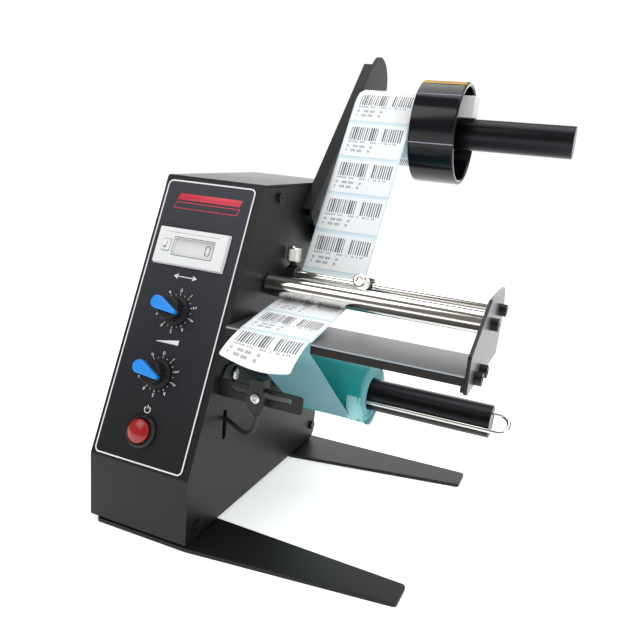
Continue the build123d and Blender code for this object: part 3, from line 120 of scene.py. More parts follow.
dialAt = {dial: fromPanel(fromFrame(jointNamed[dial + "_turn"]["pos_m"]))[:2] for dial in ("length", "speed")}


class Signal:            # a node's output that can be added, scaled and compared
    def __init__(self, tree, socket):
        self.tree, self.socket = tree, socket

    def maths(self, operation, *others):
        return self.tree.add("ShaderNodeMath", {"operation": operation}, dict(enumerate((self, *others))))

    def __add__(self, other):
        return self.maths("ADD", other)

    def __sub__(self, other):
        return self.maths("SUBTRACT", other)

    def __rsub__(self, other):
        return self.tree.add("ShaderNodeMath", {"operation": "SUBTRACT"}, {0: other, 1: self})

    def __mul__(self, other):
        return self.maths("MULTIPLY", other)

    def __truediv__(self, other):
        return self.maths("DIVIDE", other)

    def __gt__(self, other):
        return self.maths("GREATER_THAN", other)

    def __lt__(self, other):
        return self.maths("LESS_THAN", other)

    __radd__, __rmul__ = __add__, __mul__


class Tree:              # a node tree, and the one way that its nodes are added
    def __init__(self, tree):
        self.tree = tree

    def add(self, kind, settings=None, inputs=None, output=0):
        node = self.tree.nodes.new(kind)
        for key, value in (settings or {}).items():
            setattr(node, key, value)
        for key, value in (inputs or {}).items():
            if isinstance(value, Signal):
                self.tree.links.new(value.socket, node.inputs[key])
            else:
                node.inputs[key].default_value = value
        return Signal(self, node.outputs[output])

    def mix(self, factor, first, second):
        first, second = [(*c, 1) if isinstance(c, tuple) else c for c in (first, second)]
        return self.add("ShaderNodeMix", {"data_type": "RGBA"}, {0: factor, 6: first, 7: second}, 2)


class Paint(Tree):
    def __init__(self, name, color, **constants):
        self.material = bpy.data.materials.new(name)
        self.material.use_nodes = True
        super().__init__(self.material.node_tree)
        self.shader = self.tree.nodes["Principled BSDF"]
        self.shader.inputs["Base Color"].default_value = (*color, 1)
        for socket, value in constants.items():
            self.shader.inputs[socket.replace("_", " ")].default_value = value
        self.place = self.add("ShaderNodeTexCoord", output="Object")

    def noise(self, scale, detail=2.0, stretch=None):       # stretch scales the place along x, y and z
        place = self.place
        if stretch:
            place = self.add("ShaderNodeMapping", None, {"Vector": place, "Scale": stretch})
        return self.add("ShaderNodeTexNoise", None, {"Vector": place, "Scale": scale, "Detail": detail,
                                                     "Roughness": 0.55})

    def chance(self, number):           # a random value for each whole number
        return self.add("ShaderNodeTexWhiteNoise", {"noise_dimensions": "1D"}, {"W": number})

    def split(self, vector=None):       # x, y and z
        apart = self.add("ShaderNodeSeparateXYZ", None, {0: vector or self.place})
        return [Signal(self, socket) for socket in apart.socket.node.outputs]

    def awayFrom(self, yz):             # up, back and distance from an axis along x
        centre = toFrame([0, *yz])
        x, y, z = self.split()
        up, back = z - float(centre[2]), y - float(centre[1])
        return up, back, (up * up + back * back).maths("SQRT")

    def feed(self, socket, signal):
        self.tree.links.new(signal.socket, self.shader.inputs[socket])

    def finish(self, color, roughness, *bump):      # bump is height, strength and distance
        self.feed("Base Color", color)
        self.feed("Roughness", roughness)
        if bump:
            settings = dict(zip(("Height", "Strength", "Distance"), bump))
            self.feed("Normal", self.add("ShaderNodeBump", None, settings))
        return self.material


# Powder coat: fine orange peel, with broad faint changes of gloss
powderCoat = {"color": (0.0075, 0.0072, 0.0076), "wear_and_highlight": (0.014, 0.0134, 0.0136), "gloss": 0.34,
              "peelScale": 1400, "peelDepth": 0.00006, "smudgeScale": 14}


def powderPaint():
    paint = Paint("powder_coat", powderCoat["color"], Specular_IOR_Level=0.27)
    smudge, peel = paint.noise(powderCoat["smudgeScale"], 3), paint.noise(powderCoat["peelScale"])
    return paint.finish(paint.mix(smudge, powderCoat["color"], powderCoat["wear_and_highlight"]),
                        powderCoat["gloss"] + smudge * 0.1 + peel * 0.08, peel, 0.35, powderCoat["peelDepth"])


# Printed film of the panel: dark slate, a little lighter towards the top
filmInk = {"low": (0.005, 0.0052, 0.0072), "high": (0.03, 0.032, 0.042), "bottomZ": 0.05, "topZ": 0.245,
           "gloss": 0.36, "grainScale": 2600, "smudgeScale": 22, "grainDepth": 0.00003}


def filmPaint():
    paint = Paint("panel_film", filmInk["low"], Specular_IOR_Level=0.3)
    height = (paint.split()[2] - filmInk["bottomZ"]) / (filmInk["topZ"] - filmInk["bottomZ"])
    grain, smudge = paint.noise(filmInk["grainScale"]), paint.noise(filmInk["smudgeScale"])
    return paint.finish(paint.mix(height, filmInk["low"], filmInk["high"]),
                        filmInk["gloss"] + grain * 0.14 + smudge * 0.06, grain, 0.25, filmInk["grainDepth"])


def mouldedPaint(name, color, tint, gloss, grainScale=1800, grain=0.25, **constants):
    # moulded plastic: spark-eroded grain, and a slow change of shade
    paint = Paint(name, color, **constants)
    slow, fine = paint.noise(40), paint.noise(grainScale)
    return paint.finish(paint.mix(slow, color, tint), gloss + slow * 0.08 + fine * 0.06, fine, grain, 0.00005)


def turnedPaint(name, color, tint, gloss, lineScale, lineDepth):
    # metal turned about x: fine rings where x changes, and a slow change of gloss
    paint = Paint(name, color, Metallic=1.0)
    rings, slow = paint.noise(1.0, 3, (lineScale, 12.0, 12.0)), paint.noise(30)
    roughness = gloss + rings * 0.05 + slow * 0.04
    return paint.finish(paint.mix(slow, color, tint), roughness, rings, 0.3, lineDepth)


def brushedPaint(name, color, tint, gloss, scale, metallic=1.0):
    # plate and sheet: short streaks along x over a fine grain
    paint = Paint(name, color, Metallic=metallic)
    streaks = paint.noise(1.0, 4, (scale / 14, scale, scale))
    return paint.finish(paint.mix(streaks, color, tint), gloss + streaks * 0.14, streaks, 0.2, 0.00003)


# Peel plate: satin top, dark lip, and a bright line where the web goes over the edge, which is a painted
# highlight
plateColoursAndHighlight = {"back": (0.045, 0.044, 0.046), "front": (0.14, 0.14, 0.145), "lip": (0.012, 0.011, 0.0105),
               "edge": (0.4, 0.47, 0.52), "edgeTop": 0.35, "edgeBottom": 1.3, "gloss": 0.32,
               "streakScale": (50, 700, 700), "streakDepth": 0.00003}


def platePaint():
    paint = Paint("satin_plate", plateColoursAndHighlight["back"], Metallic=0.6)
    x, y, z = paint.split()
    low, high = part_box("peel_plate")
    streaks = paint.noise(1.0, 4, plateColoursAndHighlight["streakScale"])
    front = (high.y - y) / (high.y - low.y)
    top = paint.mix(front + streaks * 0.15, plateColoursAndHighlight["back"], plateColoursAndHighlight["front"])
    drop = (high.z - z) * 1000
    # the band just under the top edge, in the edge colour, is a painted highlight of the bend
    wear_and_highlight = (drop > plateColoursAndHighlight["edgeTop"]) * (drop < plateColoursAndHighlight["edgeBottom"])
    lip = paint.mix(drop > plateColoursAndHighlight["edgeBottom"], top, plateColoursAndHighlight["lip"])
    return paint.finish(paint.mix(wear_and_highlight * 0.8, lip, plateColoursAndHighlight["edge"]),
                        plateColoursAndHighlight["gloss"] + streaks * 0.14, streaks, 0.2, plateColoursAndHighlight["streakDepth"])


# End plate: satin, with a painted sheen that makes its outer face grey; dark cut edges and inner face
endColoursAndSheen = {"dark": (0.014, 0.014, 0.015), "face": (0.15, 0.15, 0.17), "faceDepth": 0.0003, "gloss": 0.3,
             "streakScale": (700, 60, 700), "streakDepth": 0.00003}


def endPaint():
    paint = Paint("end_plate_painted_sheen", endColoursAndSheen["dark"], Metallic=0.6)
    streaks = paint.noise(1.0, 4, endColoursAndSheen["streakScale"])
    outer = paint.split()[0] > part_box("end_plate")[1].x - endColoursAndSheen["faceDepth"]
    # the grey of the outer face is a painted sheen
    return paint.finish(paint.mix(outer * (0.8 + streaks * 0.2), endColoursAndSheen["dark"], endColoursAndSheen["face"]),
                        endColoursAndSheen["gloss"] + streaks * 0.12, streaks, 0.2, endColoursAndSheen["streakDepth"])


# Roll stop: glossy black, with lines of painted reflection along its band; each has its angle, half its width
# and its colour
ringPaintedReflections = {"black": (0.005, 0.005, 0.008), "bandRadius": 40.6, "gloss": 0.12, "smudgeScale": 35,
             "rippleScale": 60, "rippleDepth": 0.0002,
             "lines": ((110.7, 4.6, (0.75, 0.45, 0.1)), (137.0, 0.6, (0.16, 0.17, 0.22)),
                       (193.5, 0.5, (0.3, 0.31, 0.38)))}


def glossPaint():
    paint = Paint("gloss_black", ringPaintedReflections["black"], Specular_IOR_Level=0.36)
    up, back, radius = paint.awayFrom(shaftYz)
    # an angle from 0 to 360 degrees, so that the front of the band is 180
    around = (up.maths("ARCTAN2", back) + 2 * math.pi).maths("MODULO", 2 * math.pi)
    outside = radius > ringPaintedReflections["bandRadius"] / 1000
    shade, print_and_reflection_marks = ringPaintedReflections["black"], None
    # each line, the gold one and the two pale grey ones, is a painted reflection
    for angle, halfWidth, color in ringPaintedReflections["lines"]:
        line = ((around - math.radians(angle)).maths("ABSOLUTE") < math.radians(halfWidth)) * outside
        shade = paint.mix(line, shade, color)
        print_and_reflection_marks = line if print_and_reflection_marks is None else print_and_reflection_marks + line
    paint.feed("Metallic", print_and_reflection_marks * 0.7)
    smudge, ripple = paint.noise(ringPaintedReflections["smudgeScale"]), paint.noise(ringPaintedReflections["rippleScale"])
    return paint.finish(shade, ringPaintedReflections["gloss"] + print_and_reflection_marks * 0.2 + smudge * 0.05, ripple, 0.12,
                        ringPaintedReflections["rippleDepth"])


# Print on the labels, in shares of their width and length: bars across the upper half, a row of grey marks
# under them and two more at lower left. A bar's width in its column is a random share and a least one.
labelInk = {"paper": (0.83, 0.845, 0.86), "shade": (0.74, 0.765, 0.79), "ink": (0.035, 0.035, 0.04),
            "greyInk": (0.3, 0.31, 0.33), "bars": 27, "barRow": (0.5, 0.9),
            "barSides": ((0.06, 0.55), (0.6, 0.95)), "codeCells": 34, "codeRow": (0.42, 0.47),
            "textCells": 46, "textRows": ((0.27, 0.345), (0.14, 0.215)), "textSides": (0.07, 0.5),
            "barWidth": (0.45, 0.22), "blank": 0.3, "codeGap": 0.35, "textGap": 0.25, "gloss": 0.42,
            "fibreScale": 700, "fibreDepth": 0.00004}


def labelPaint():
    paint = Paint("label_paper", labelInk["paper"], Sheen_Weight=0.05)
    u, v, _ = paint.split(paint.add("ShaderNodeUVMap", {"uv_map": "print"}))

    def band(signal, limits):           # 1 between two limits
        return (signal > limits[0]) * (signal < limits[1])

    def cells(count, seed):             # one random value for each column of the label
        return paint.chance((u * count).maths("FLOOR") + seed)

    def within(count):                  # place within one column
        return (u * count).maths("FRACT")

    groups = band(u, labelInk["barSides"][0]) + band(u, labelInk["barSides"][1])
    share, least = labelInk["barWidth"]
    bars = cells(labelInk["bars"], 3.3) * share + least > within(labelInk["bars"])
    bars = bars * band(v, labelInk["barRow"]) * groups
    print_and_reflection_marks = cells(labelInk["codeCells"], 11.7) > labelInk["blank"]
    words = print_and_reflection_marks * (within(labelInk["codeCells"]) > labelInk["codeGap"])
    words = words * band(v, labelInk["codeRow"]) * groups
    for number, limits in enumerate(labelInk["textRows"]):
        print_and_reflection_marks = cells(labelInk["textCells"], 21.0 + number) > labelInk["blank"]
        row = print_and_reflection_marks * (within(labelInk["textCells"]) > labelInk["textGap"])
        words = words + row * band(v, limits) * band(u, labelInk["textSides"])
    fibre = paint.noise(labelInk["fibreScale"], 3)
    paper = paint.mix(fibre, labelInk["paper"], labelInk["shade"])
    printed = paint.mix(words.maths("MINIMUM", 1.0), paper, labelInk["greyInk"])
    return paint.finish(paint.mix(bars, printed, labelInk["ink"]),
                        labelInk["gloss"] + fibre * 0.12 - bars * 0.08, fibre, 0.15, labelInk["fibreDepth"])


def paperPaint(name, color, tint, scale, gloss, depth):
    # glazed paper: soft clouds, fine fibre and shallow creases
    paint = Paint(name, color)
    cloud, fibre = paint.noise(scale, 3), paint.noise(900, 3)
    crease = paint.noise(scale * 2.4, 1, (1.0, 0.25, 0.6))
    return paint.finish(paint.mix(cloud * 0.7 + fibre * 0.3, color, tint), gloss + cloud * 0.15,
                        crease + fibre * 0.08, 0.5, depth)


def layeredPaint(name, color, tint, pitch, node):
    # the side of a roll: thin rings about its axis, each a slightly other shade
    paint = Paint(name, color)
    radius = paint.awayFrom(middleOf(node)[1:])[2] * (1000 / pitch)
    layer = paint.chance(radius.maths("FLOOR"))
    return paint.finish(paint.mix(layer * 0.7 + paint.noise(120) * 0.3, color, tint), 0.5 + layer * 0.2,
                        radius.maths("FRACT"), 0.4, 0.0001)


# Liquid crystal: pale grey, darker under its upper edge, which is painted shade from the bezel
displayGrey = {"pale": (0.6, 0.62, 0.6), "dark": (0.3, 0.31, 0.31), "cloud": (0.5, 0.5, 0.48), "gloss": 0.2,
               "cloudScale": 600, "smudgeScale": 300, "fade": 4.0}


def displayPaint():
    paint = Paint("display_grey", displayGrey["pale"], Coat_Weight=0.5, Coat_Roughness=0.08)
    low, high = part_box("counter_window")
    rise = (paint.split()[2] - low.z) / (high.z - low.z)
    # the darkening towards the top edge is a painted shadow of the bezel
    shade = paint.mix(rise.maths("POWER", displayGrey["fade"]), displayGrey["pale"], displayGrey["dark"])
    cloud, smudge = paint.noise(displayGrey["cloudScale"]), paint.noise(displayGrey["smudgeScale"])
    return paint.finish(paint.mix(cloud * 0.25, shade, displayGrey["cloud"]),
                        displayGrey["gloss"] + smudge * 0.08)


# Red plastic: brighter in the middle of the dome, which is a painted highlight
domeRed = {"rim": (0.22, 0.003, 0.005), "middle": (0.46, 0.006, 0.01), "reach": 0.012, "gloss": 0.24,
           "grainScale": 900, "waveScale": 700, "waveDepth": 0.0001}


def domePaint():
    paint = Paint("button_red", domeRed["middle"], Coat_Weight=0.3, Coat_Roughness=0.1)
    off = paint.add("ShaderNodeVectorMath", {"operation": "DISTANCE"},
                    {0: paint.place, 1: tuple(toFrame(middleOf("power_button")))}, output="Value")
    # painted highlight: brightest at the dome's middle, gone at the reach
    highlight_share = (1.0 - off / domeRed["reach"]).maths("MAXIMUM", 0.0)
    grain, wave = paint.noise(domeRed["grainScale"]), paint.noise(domeRed["waveScale"], 1)
    return paint.finish(paint.mix(highlight_share, domeRed["rim"], domeRed["middle"]), domeRed["gloss"] + grain * 0.1,
                        wave, 0.1, domeRed["waveDepth"])


inkGrain = (0.45, 2400, 0.1)     # gloss, scale and strength
paints = {
    "powder": powderPaint(), "film": filmPaint(), "gloss": glossPaint(), "label": labelPaint(),
    "display": displayPaint(), "dome": domePaint(), "plate": platePaint(), "endFace": endPaint(),
    "white": mouldedPaint("white_moulding", (0.72, 0.73, 0.73), (0.64, 0.655, 0.665), 0.34),
    "black": mouldedPaint("black_moulding", (0.007, 0.007, 0.008), (0.013, 0.013, 0.014), 0.34,
                          Specular_IOR_Level=0.32),
    "inlet": mouldedPaint("inlet_moulding", (0.016, 0.016, 0.017), (0.024, 0.024, 0.024), 0.42),
    "blue": mouldedPaint("pointer_blue", (0.002, 0.2, 0.68), (0.004, 0.25, 0.78), 0.34),
    "block": mouldedPaint("white_block", (0.78, 0.78, 0.78), (0.7, 0.7, 0.72), 0.38),
    "cable": mouldedPaint("cable_sheath", (0.012, 0.012, 0.013), (0.02, 0.02, 0.02), 0.46),
    "board": mouldedPaint("board_green", (0.01, 0.1, 0.035), (0.014, 0.13, 0.05), 0.3),
    "ink": mouldedPaint("white_ink", (0.78, 0.79, 0.82), (0.7, 0.71, 0.75), *inkGrain),
    "redInk": mouldedPaint("red_ink", (0.62, 0.03, 0.06), (0.52, 0.03, 0.055), *inkGrain),
    "darkInk": mouldedPaint("dark_ink", (0.05, 0.05, 0.055), (0.08, 0.08, 0.085), 0.4, *inkGrain[1:]),
    "greyInk": mouldedPaint("grey_ink", (0.3, 0.31, 0.33), (0.36, 0.37, 0.39), *inkGrain),
    "chrome": turnedPaint("chrome_plate", (0.82, 0.8, 0.77), (0.74, 0.715, 0.68), 0.07, 900, 0.0000006),
    "blackTube": turnedPaint("black_tube", (0.022, 0.022, 0.026), (0.032, 0.032, 0.036), 0.3, 700, 0.00001),
    "steel": turnedPaint("turned_steel", (0.52, 0.51, 0.49), (0.42, 0.41, 0.39), 0.24, 1500, 0.00002),
    "bronze": turnedPaint("oiled_bronze", (0.5, 0.33, 0.14), (0.4, 0.26, 0.1), 0.32, 1200, 0.00002),
    "zinc": brushedPaint("zinc_plate", (0.66, 0.66, 0.64), (0.5, 0.5, 0.49), 0.2, 500),
    "anodised": brushedPaint("black_anodised", (0.03, 0.03, 0.033), (0.045, 0.045, 0.05), 0.3, 900, 0.7),
    "blackened": brushedPaint("blackened_steel", (0.016, 0.016, 0.017), (0.03, 0.03, 0.03), 0.34, 700, 0.6),
    "can": brushedPaint("plated_can", (0.5, 0.5, 0.48), (0.42, 0.42, 0.4), 0.3, 400),
    "iron": brushedPaint("core_iron", (0.12, 0.11, 0.105), (0.17, 0.155, 0.145), 0.45, 900, 0.5),
    "liner": paperPaint("teal_liner", (0.012, 0.36, 0.36), (0.03, 0.45, 0.46), 26, 0.4, 0.0005),
    "paleLiner": paperPaint("pale_liner", (0.55, 0.69, 0.76), (0.64, 0.77, 0.82), 20, 0.4, 0.0003),
    "cyanLiner": paperPaint("cyan_liner", (0.24, 0.66, 0.68), (0.42, 0.78, 0.8), 40, 0.4, 0.0006),
    # the same liner as on the plate, darker: painted shade
    "linerInPaintedShade": paperPaint("liner_in_painted_shade", (0.12, 0.31, 0.35), (0.18, 0.4, 0.44), 16, 0.4, 0.0004),
    "underside": paperPaint("label_underside", (0.8, 0.8, 0.79), (0.72, 0.73, 0.73), 30, 0.5, 0.0002),
    "core": layeredPaint("core_board", (0.42, 0.33, 0.22), (0.34, 0.26, 0.17), 0.5, "label_core"),
    "rollSide": layeredPaint("label_roll_side", (0.66, 0.75, 0.79), (0.78, 0.8, 0.82), 0.5, "label_roll"),
    "linerSide": layeredPaint("liner_roll_side", (0.1, 0.42, 0.46), (0.2, 0.56, 0.6), 0.45, "liner_roll"),
}
print("materials made:", len(paints))


def dress(piece, *names):
    piece.data.materials.clear()
    for name in names:
        piece.data.materials.append(paints[name])


def gridFaces(rows, columns, closeRows=False, closeColumns=False):
    # four-cornered faces between neighbouring points of a grid
    index = np.arange(rows * columns).reshape(rows, columns)
    if closeRows:
        index = np.vstack([index, index[:1]])
    if closeColumns:
        index = np.hstack([index, index[:, :1]])
    return np.stack([index[:-1, :-1], index[1:, :-1], index[1:, 1:], index[:-1, 1:]], -1).reshape(-1, 4)


def surface(name, points, body, paintNames, faces=None, uv=None, faceSlots=None, replaced=(), slot=None,
            facing=None, wall=None, flats=True, **closed):
    # makes the piece from a grid of points, or from points and faces: merges seams and poles and turns faces
    # outwards. An open sheet looks along `facing`, or away from the axis through its y and z, and may get a
    # wall of (thickness, offset). Flats keep their own normals beside small roundings. Its slot argument is
    # not used.
    mesh = bpy.data.meshes.new(name)
    faces = gridFaces(*points.shape[:2], **closed) if faces is None else faces
    mesh.from_pydata(toFrame(points).reshape(-1, 3).tolist(), [], faces.tolist())
    if uv is not None:
        order = read(mesh.loops, "vertex_index", 1, np.int32)[:, 0]
        mesh.uv_layers.new(name="print").data.foreach_set("uv", uv.astype(np.float32)[order].ravel())
    if faceSlots is not None:
        mesh.polygons.foreach_set("material_index", faceSlots.ravel().astype(np.int32))
    mesh.polygons.foreach_set("use_smooth", np.ones(len(mesh.polygons), bool))
    work = bmesh.new()
    work.from_mesh(mesh)
    bmesh.ops.remove_doubles(work, verts=work.verts, dist=1e-7)
    bmesh.ops.dissolve_degenerate(work, edges=work.edges, dist=1e-9)
    bmesh.ops.recalc_face_normals(work, faces=work.faces)
    work.to_mesh(mesh)
    work.free()
    if facing is not None:
        look = facing
        if len(facing) == 2:
            look = (read(mesh.polygons, "center", 3) - toFrame([0, *facing])) * (0, 1, 1)
        if (read(mesh.polygons, "normal", 3) * look * read(mesh.polygons, "area", 1)).sum() < 0:
            mesh.flip_normals()
    piece = bpy.data.objects.new(name, mesh)
    scene.collection.objects.link(piece)
    dress(piece, *paintNames)
    if wall:
        skin = piece.modifiers.new("wall", "SOLIDIFY")
        skin.thickness, skin.offset = wall[0] / 1000, wall[1]
        skin.material_offset = len(paintNames) - 1
    if flats:
        piece.modifiers.new("flats", "WEIGHTED_NORMAL").weight = 80
    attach(piece, body)
    if replaced:
        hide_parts(*replaced)


def rounded(profile, radius, steps=4):
    # each inner corner of a profile becomes a short curve: (1-t)^2 a + 2t(1-t) corner + t^2 b
    profile = np.asarray(profile, float)
    t = np.linspace(0, 1, steps + 1)[:, None]
    pieces = [profile[:1]]
    for before, point, after in zip(profile, profile[1:], profile[2:]):
        ways = np.array([before, after]) - point
        lengths = np.linalg.norm(ways, axis=1, keepdims=True)
        a, b = point + ways / lengths * min(radius, 0.45 * lengths.min())
        pieces.append((1 - t) ** 2 * a + 2 * t * (1 - t) * point + t ** 2 * b)
    return np.vstack(pieces + [profile[-1:]])


def sleeve(start, end, bore, radius):    # closed profile of a plain ring
    return [(start, bore), (start, radius), (end, radius), (end, bore), (start, bore)]


def turned(name, profile, origin, body, paintName, axis=(1.0, 0.0, 0.0), segments=96, ripple=None, **rest):
    # a profile of (place along the axis, radius) turned about the axis:
    # point = origin + axis * place + (radius + ripple) * (cos a * side + sin a * up)
    profile, axis = np.asarray(profile, float), np.asarray(axis, float)
    side = np.cross(axis, [0.0, 0.0, 1.0] if abs(axis[2]) < 0.9 else [1.0, 0.0, 0.0])
    side /= np.linalg.norm(side)
    angle = np.linspace(0, 2 * math.pi, segments, endpoint=False)
    place, radius = profile[:, :1], profile[:, 1:]
    if ripple:
        radius = radius + ripple(angle, place, radius)
    ring = np.outer(np.cos(angle), side) + np.outer(np.sin(angle), np.cross(axis, side))
    points = (axis * place)[:, None] + (radius * np.ones(segments))[..., None] * ring
    surface(name, origin + points, body, [paintName], closeColumns=True, **rest)


print("shapes: bars and rollers")
# Bars between the plates, by node: edge rounding, body and paint
bars = {"roll_shaft": (0.8, "machine", "blackTube"), "guide_roller": (0.4, "roller", "chrome"),
        "guide_rod": (0.3, "machine", "chrome")}
for node, (edge, *finish) in bars.items():
    start, end = spanOf(node)
    profile = [(start, 0), (start, radiusOf(node)), (end, radiusOf(node)), (end, 0)]
    turned(node + "_bar", rounded(profile, edge, 5), [0, *middleOf(node)[1:]], *finish, segments=128,
           replaced=(node,))

# Take-up spindle: tube and plug in one, with the joint between them as a fine groove in the end
spindle = {"edge": 0.7, "wall": 2.0, "groove": 0.5, "grooveDepth": 1.2, "sunk": 0.3}
start, end = spanOf("takeup_tube")
spindleRadius = radiusOf("takeup_tube")
plugRadius = spindleRadius - spindle["wall"]
plugEdge = plugRadius - spindle["groove"]
profile = [(start, 0), (start, spindleRadius), (end, spindleRadius), (end, plugRadius),
           (end - spindle["grooveDepth"], plugRadius), (end - spindle["grooveDepth"], plugEdge),
           (end - spindle["sunk"], plugEdge), (end - spindle["sunk"], 0)]
turned("takeup_spindle", rounded(profile, spindle["edge"], 5), [0, *takeupYz], "take_up", "blackTube",
       segments=128, replaced=("takeup_tube", "takeup_end_plug"))

print("shapes: roll stop")
rollStop = {"wall": 4.0, "disc": 3.0, "hub": 17.0, "hubLength": 20.0, "edge": 1.4, "gap": 0.1}
start, end = spanOf("roll_ring")
outside = radiusOf("roll_ring")
shaftRadius = radiusOf("roll_shaft")
bore, inside = shaftRadius + rollStop["gap"], outside - rollStop["wall"]
disc, hubEnd = start + rollStop["disc"], start + rollStop["hubLength"]
profile = [(start, bore), (start, outside), (end, outside), (end, inside), (disc, inside),
           (disc, rollStop["hub"]), (hubEnd, rollStop["hub"]), (hubEnd, bore), (start, bore)]
turned("roll_stop_ring", rounded(profile, rollStop["edge"], 6), [0, *shaftYz], "roll_stop", "gloss",
       segments=192, replaced=("roll_ring",))


print("shapes: web and labels")
stock = {"linerThickness": 0.3, "labelThickness": 0.2, "play": 0.15, "labelWidth": 50.0, "labelLength": 30.0,
         "gap": 3.0, "corner": 1.6, "flutter": 0.22, "spacing": 0.8, "leadSteps": 23, "arcSteps": 12,
         "columns": 27, "waves": (17, 31)}
nose = {"radius": 0.9, "lip": 7.0}
webLeft, webRight = spanOf("label_web")
webMiddle = (webLeft + webRight) / 2
peelLow, peelHigh = boxOf("peel_plate")
noseYz = np.array([peelLow[1] + nose["radius"], peelHigh[2] - nose["radius"]])
lipYz = noseYz - [0.0, nose["lip"] - 2 * nose["radius"]]


def webCircles(side):
    # circles that a layer goes round, with a plus where it turns anticlockwise seen from the free ends
    outer = stock["play"] + stock["linerThickness"] / 2 + side
    inner = outer + stock["labelThickness"] - 2 * side
    return [(shaftYz, radiusOf("label_roll") + outer), (rodYz, -radiusOf("guide_rod") - inner),
            (rollerYz, -radiusOf("guide_roller") - inner), (noseYz, nose["radius"] + outer),
            (lipYz, nose["radius"] + outer), (takeupYz, radiusOf("liner_roll") + outer)]


def straightRun(first, second):
    # the line that touches two signed circles: its normal n has (c2 - c1) . n = r1 - r2
    (centreA, radiusA), (centreB, radiusB) = first, second
    length = np.linalg.norm(centreB - centreA)
    along = (centreB - centreA) / length
    share = (radiusA - radiusB) / length
    normal = share * along - math.sqrt(1 - share ** 2) * np.array([-along[1], along[0]])
    return centreA + radiusA * normal, centreB + radiusB * normal, normal


def swung(way, turn):    # a direction turned anticlockwise by each angle
    return np.outer(np.cos(turn), way) + np.outer(np.sin(turn), [-way[1], way[0]])


def webPath(side, last, lead=0.0):
    # points, outward normals and travelled length of a layer, from the roll to the circle numbered `last`:
    # lines that touch two circles, arcs round the circles, and `lead` degrees on the roll before them
    circles = webCircles(side)
    runs = [straightRun(*circles[i:i + 2]) for i in range(last)]
    turn = np.linspace(-lead, 0, stock["leadSteps"] if lead else 0, endpoint=False)
    sweep = swung(runs[0][2], np.radians(turn))
    parts = [(circles[0][0] + circles[0][1] * sweep, sweep)]
    for number, (start, end, normal) in enumerate(runs):
        count = max(int(np.linalg.norm(end - start) / stock["spacing"]), 2)
        parts.append((start + (end - start) * np.linspace(0, 1, count)[:, None], np.tile(normal, (count, 1))))
        if number + 1 < last:
            centre, radius = circles[number + 1]
            after = runs[number + 1][2]
            total = math.atan2(normal[0] * after[1] - normal[1] * after[0], normal @ after)
            sweep = swung(normal, np.linspace(0, total, stock["arcSteps"] + 2)[1:-1])
            parts.append((centre + radius * sweep, sweep))
    points, normals = (np.vstack(part) for part in zip(*parts))
    return points, normals, np.append(0, np.cumsum(np.linalg.norm(np.diff(points, axis=0), axis=1)))


lastRun = np.linalg.norm(np.subtract(*straightRun(*webCircles(0.0)[2:4])[:2]))


def onPath(path, edge, travel, x, lift=0.0):
    # points at distances along a path and places across it; between the roller and the peel edge the web
    # waves by flutter * sin(pi s)^2 * sin(distance / waves + x / waves), with s from 0 to 1 there
    y, z, ny, nz = (np.interp(travel, path[2], column) for column in np.hstack(path[:2]).T)
    share = np.clip((edge - travel) / lastRun, 0, 1)
    phase = (edge - travel) / stock["waves"][0] + x / stock["waves"][1]
    wave = stock["flutter"] * np.sin(math.pi * share) ** 2 * np.sin(phase) + lift
    return gridOf(x, y + ny * wave, z + nz * wave)


def labelGrid(rows=34, columns=26):
    # distance along and place across a label, its rows drawn in at each end along the corner's circle
    half = stock["labelLength"] / 2
    along = half * (1 - np.cos(np.linspace(0, math.pi, rows)))[:, None]
    inCorner = np.clip(stock["corner"] - np.minimum(along, 2 * half - along), 0, stock["corner"])
    drawn = stock["corner"] - np.sqrt(stock["corner"] ** 2 - inCorner ** 2)
    across = np.linspace(-1, 1, columns) * (stock["labelWidth"] / 2 - drawn)
    along, across = np.broadcast_arrays(along, across)
    uv = np.stack([0.5 + across / stock["labelWidth"], along / (2 * half)], -1)
    return along, across, uv.reshape(-1, 2)


def label(name, grid, body, thickness=stock["labelThickness"], **rest):
    surface(name, grid, body, ["label", "underside"], uv=labelUv, wall=(thickness, -1), slot="label_paper",
            **rest)


upAndFront = (0.0, -0.6, 0.8)
labelSide = stock["linerThickness"] / 2 + stock["labelThickness"]
labelPitch = stock["labelLength"] + stock["gap"]
# The web goes on over the roll as far as its last whole label, which ends half a gap from the cut
freeLength = webPath(labelSide, 3)[2][-1]
labelCount = math.ceil((freeLength - stock["gap"]) / labelPitch)
onRoll = math.degrees((labelCount * labelPitch + stock["gap"] / 2 - freeLength) / webCircles(labelSide)[0][1])
webLayer = webPath(0.0, 5, onRoll)
noseAt = webPath(0.0, 3, onRoll)[2][-1]
rows = webLayer[2][webLayer[2] <= noseAt + 0.01][:, None]
across = np.linspace(webLeft, webRight, stock["columns"])
surface("label_liner", onPath(webLayer, noseAt, rows, across), "machine", ["paleLiner"],
        wall=(stock["linerThickness"], 0), facing=upAndFront, replaced=("label_web",))

labelLayer = webPath(labelSide, 3, onRoll)
labelEnd = labelLayer[2][-1]
alongLabel, acrossLabel, labelUv = labelGrid()
labelX = webMiddle + acrossLabel
for number in range(labelCount):
    travel = labelEnd - stock["gap"] - number * labelPitch - alongLabel
    label("label_%d" % (number + 1), onPath(labelLayer, labelEnd, travel, labelX), "machine",
          facing=upAndFront, replaced=("labels",))

# The label that has come off: it bends down over a radius, and its front edge bows in the middle
peeled = {"radius": 62.0, "bow": 4.6, "bowShift": 0.12, "twist": 0.6}


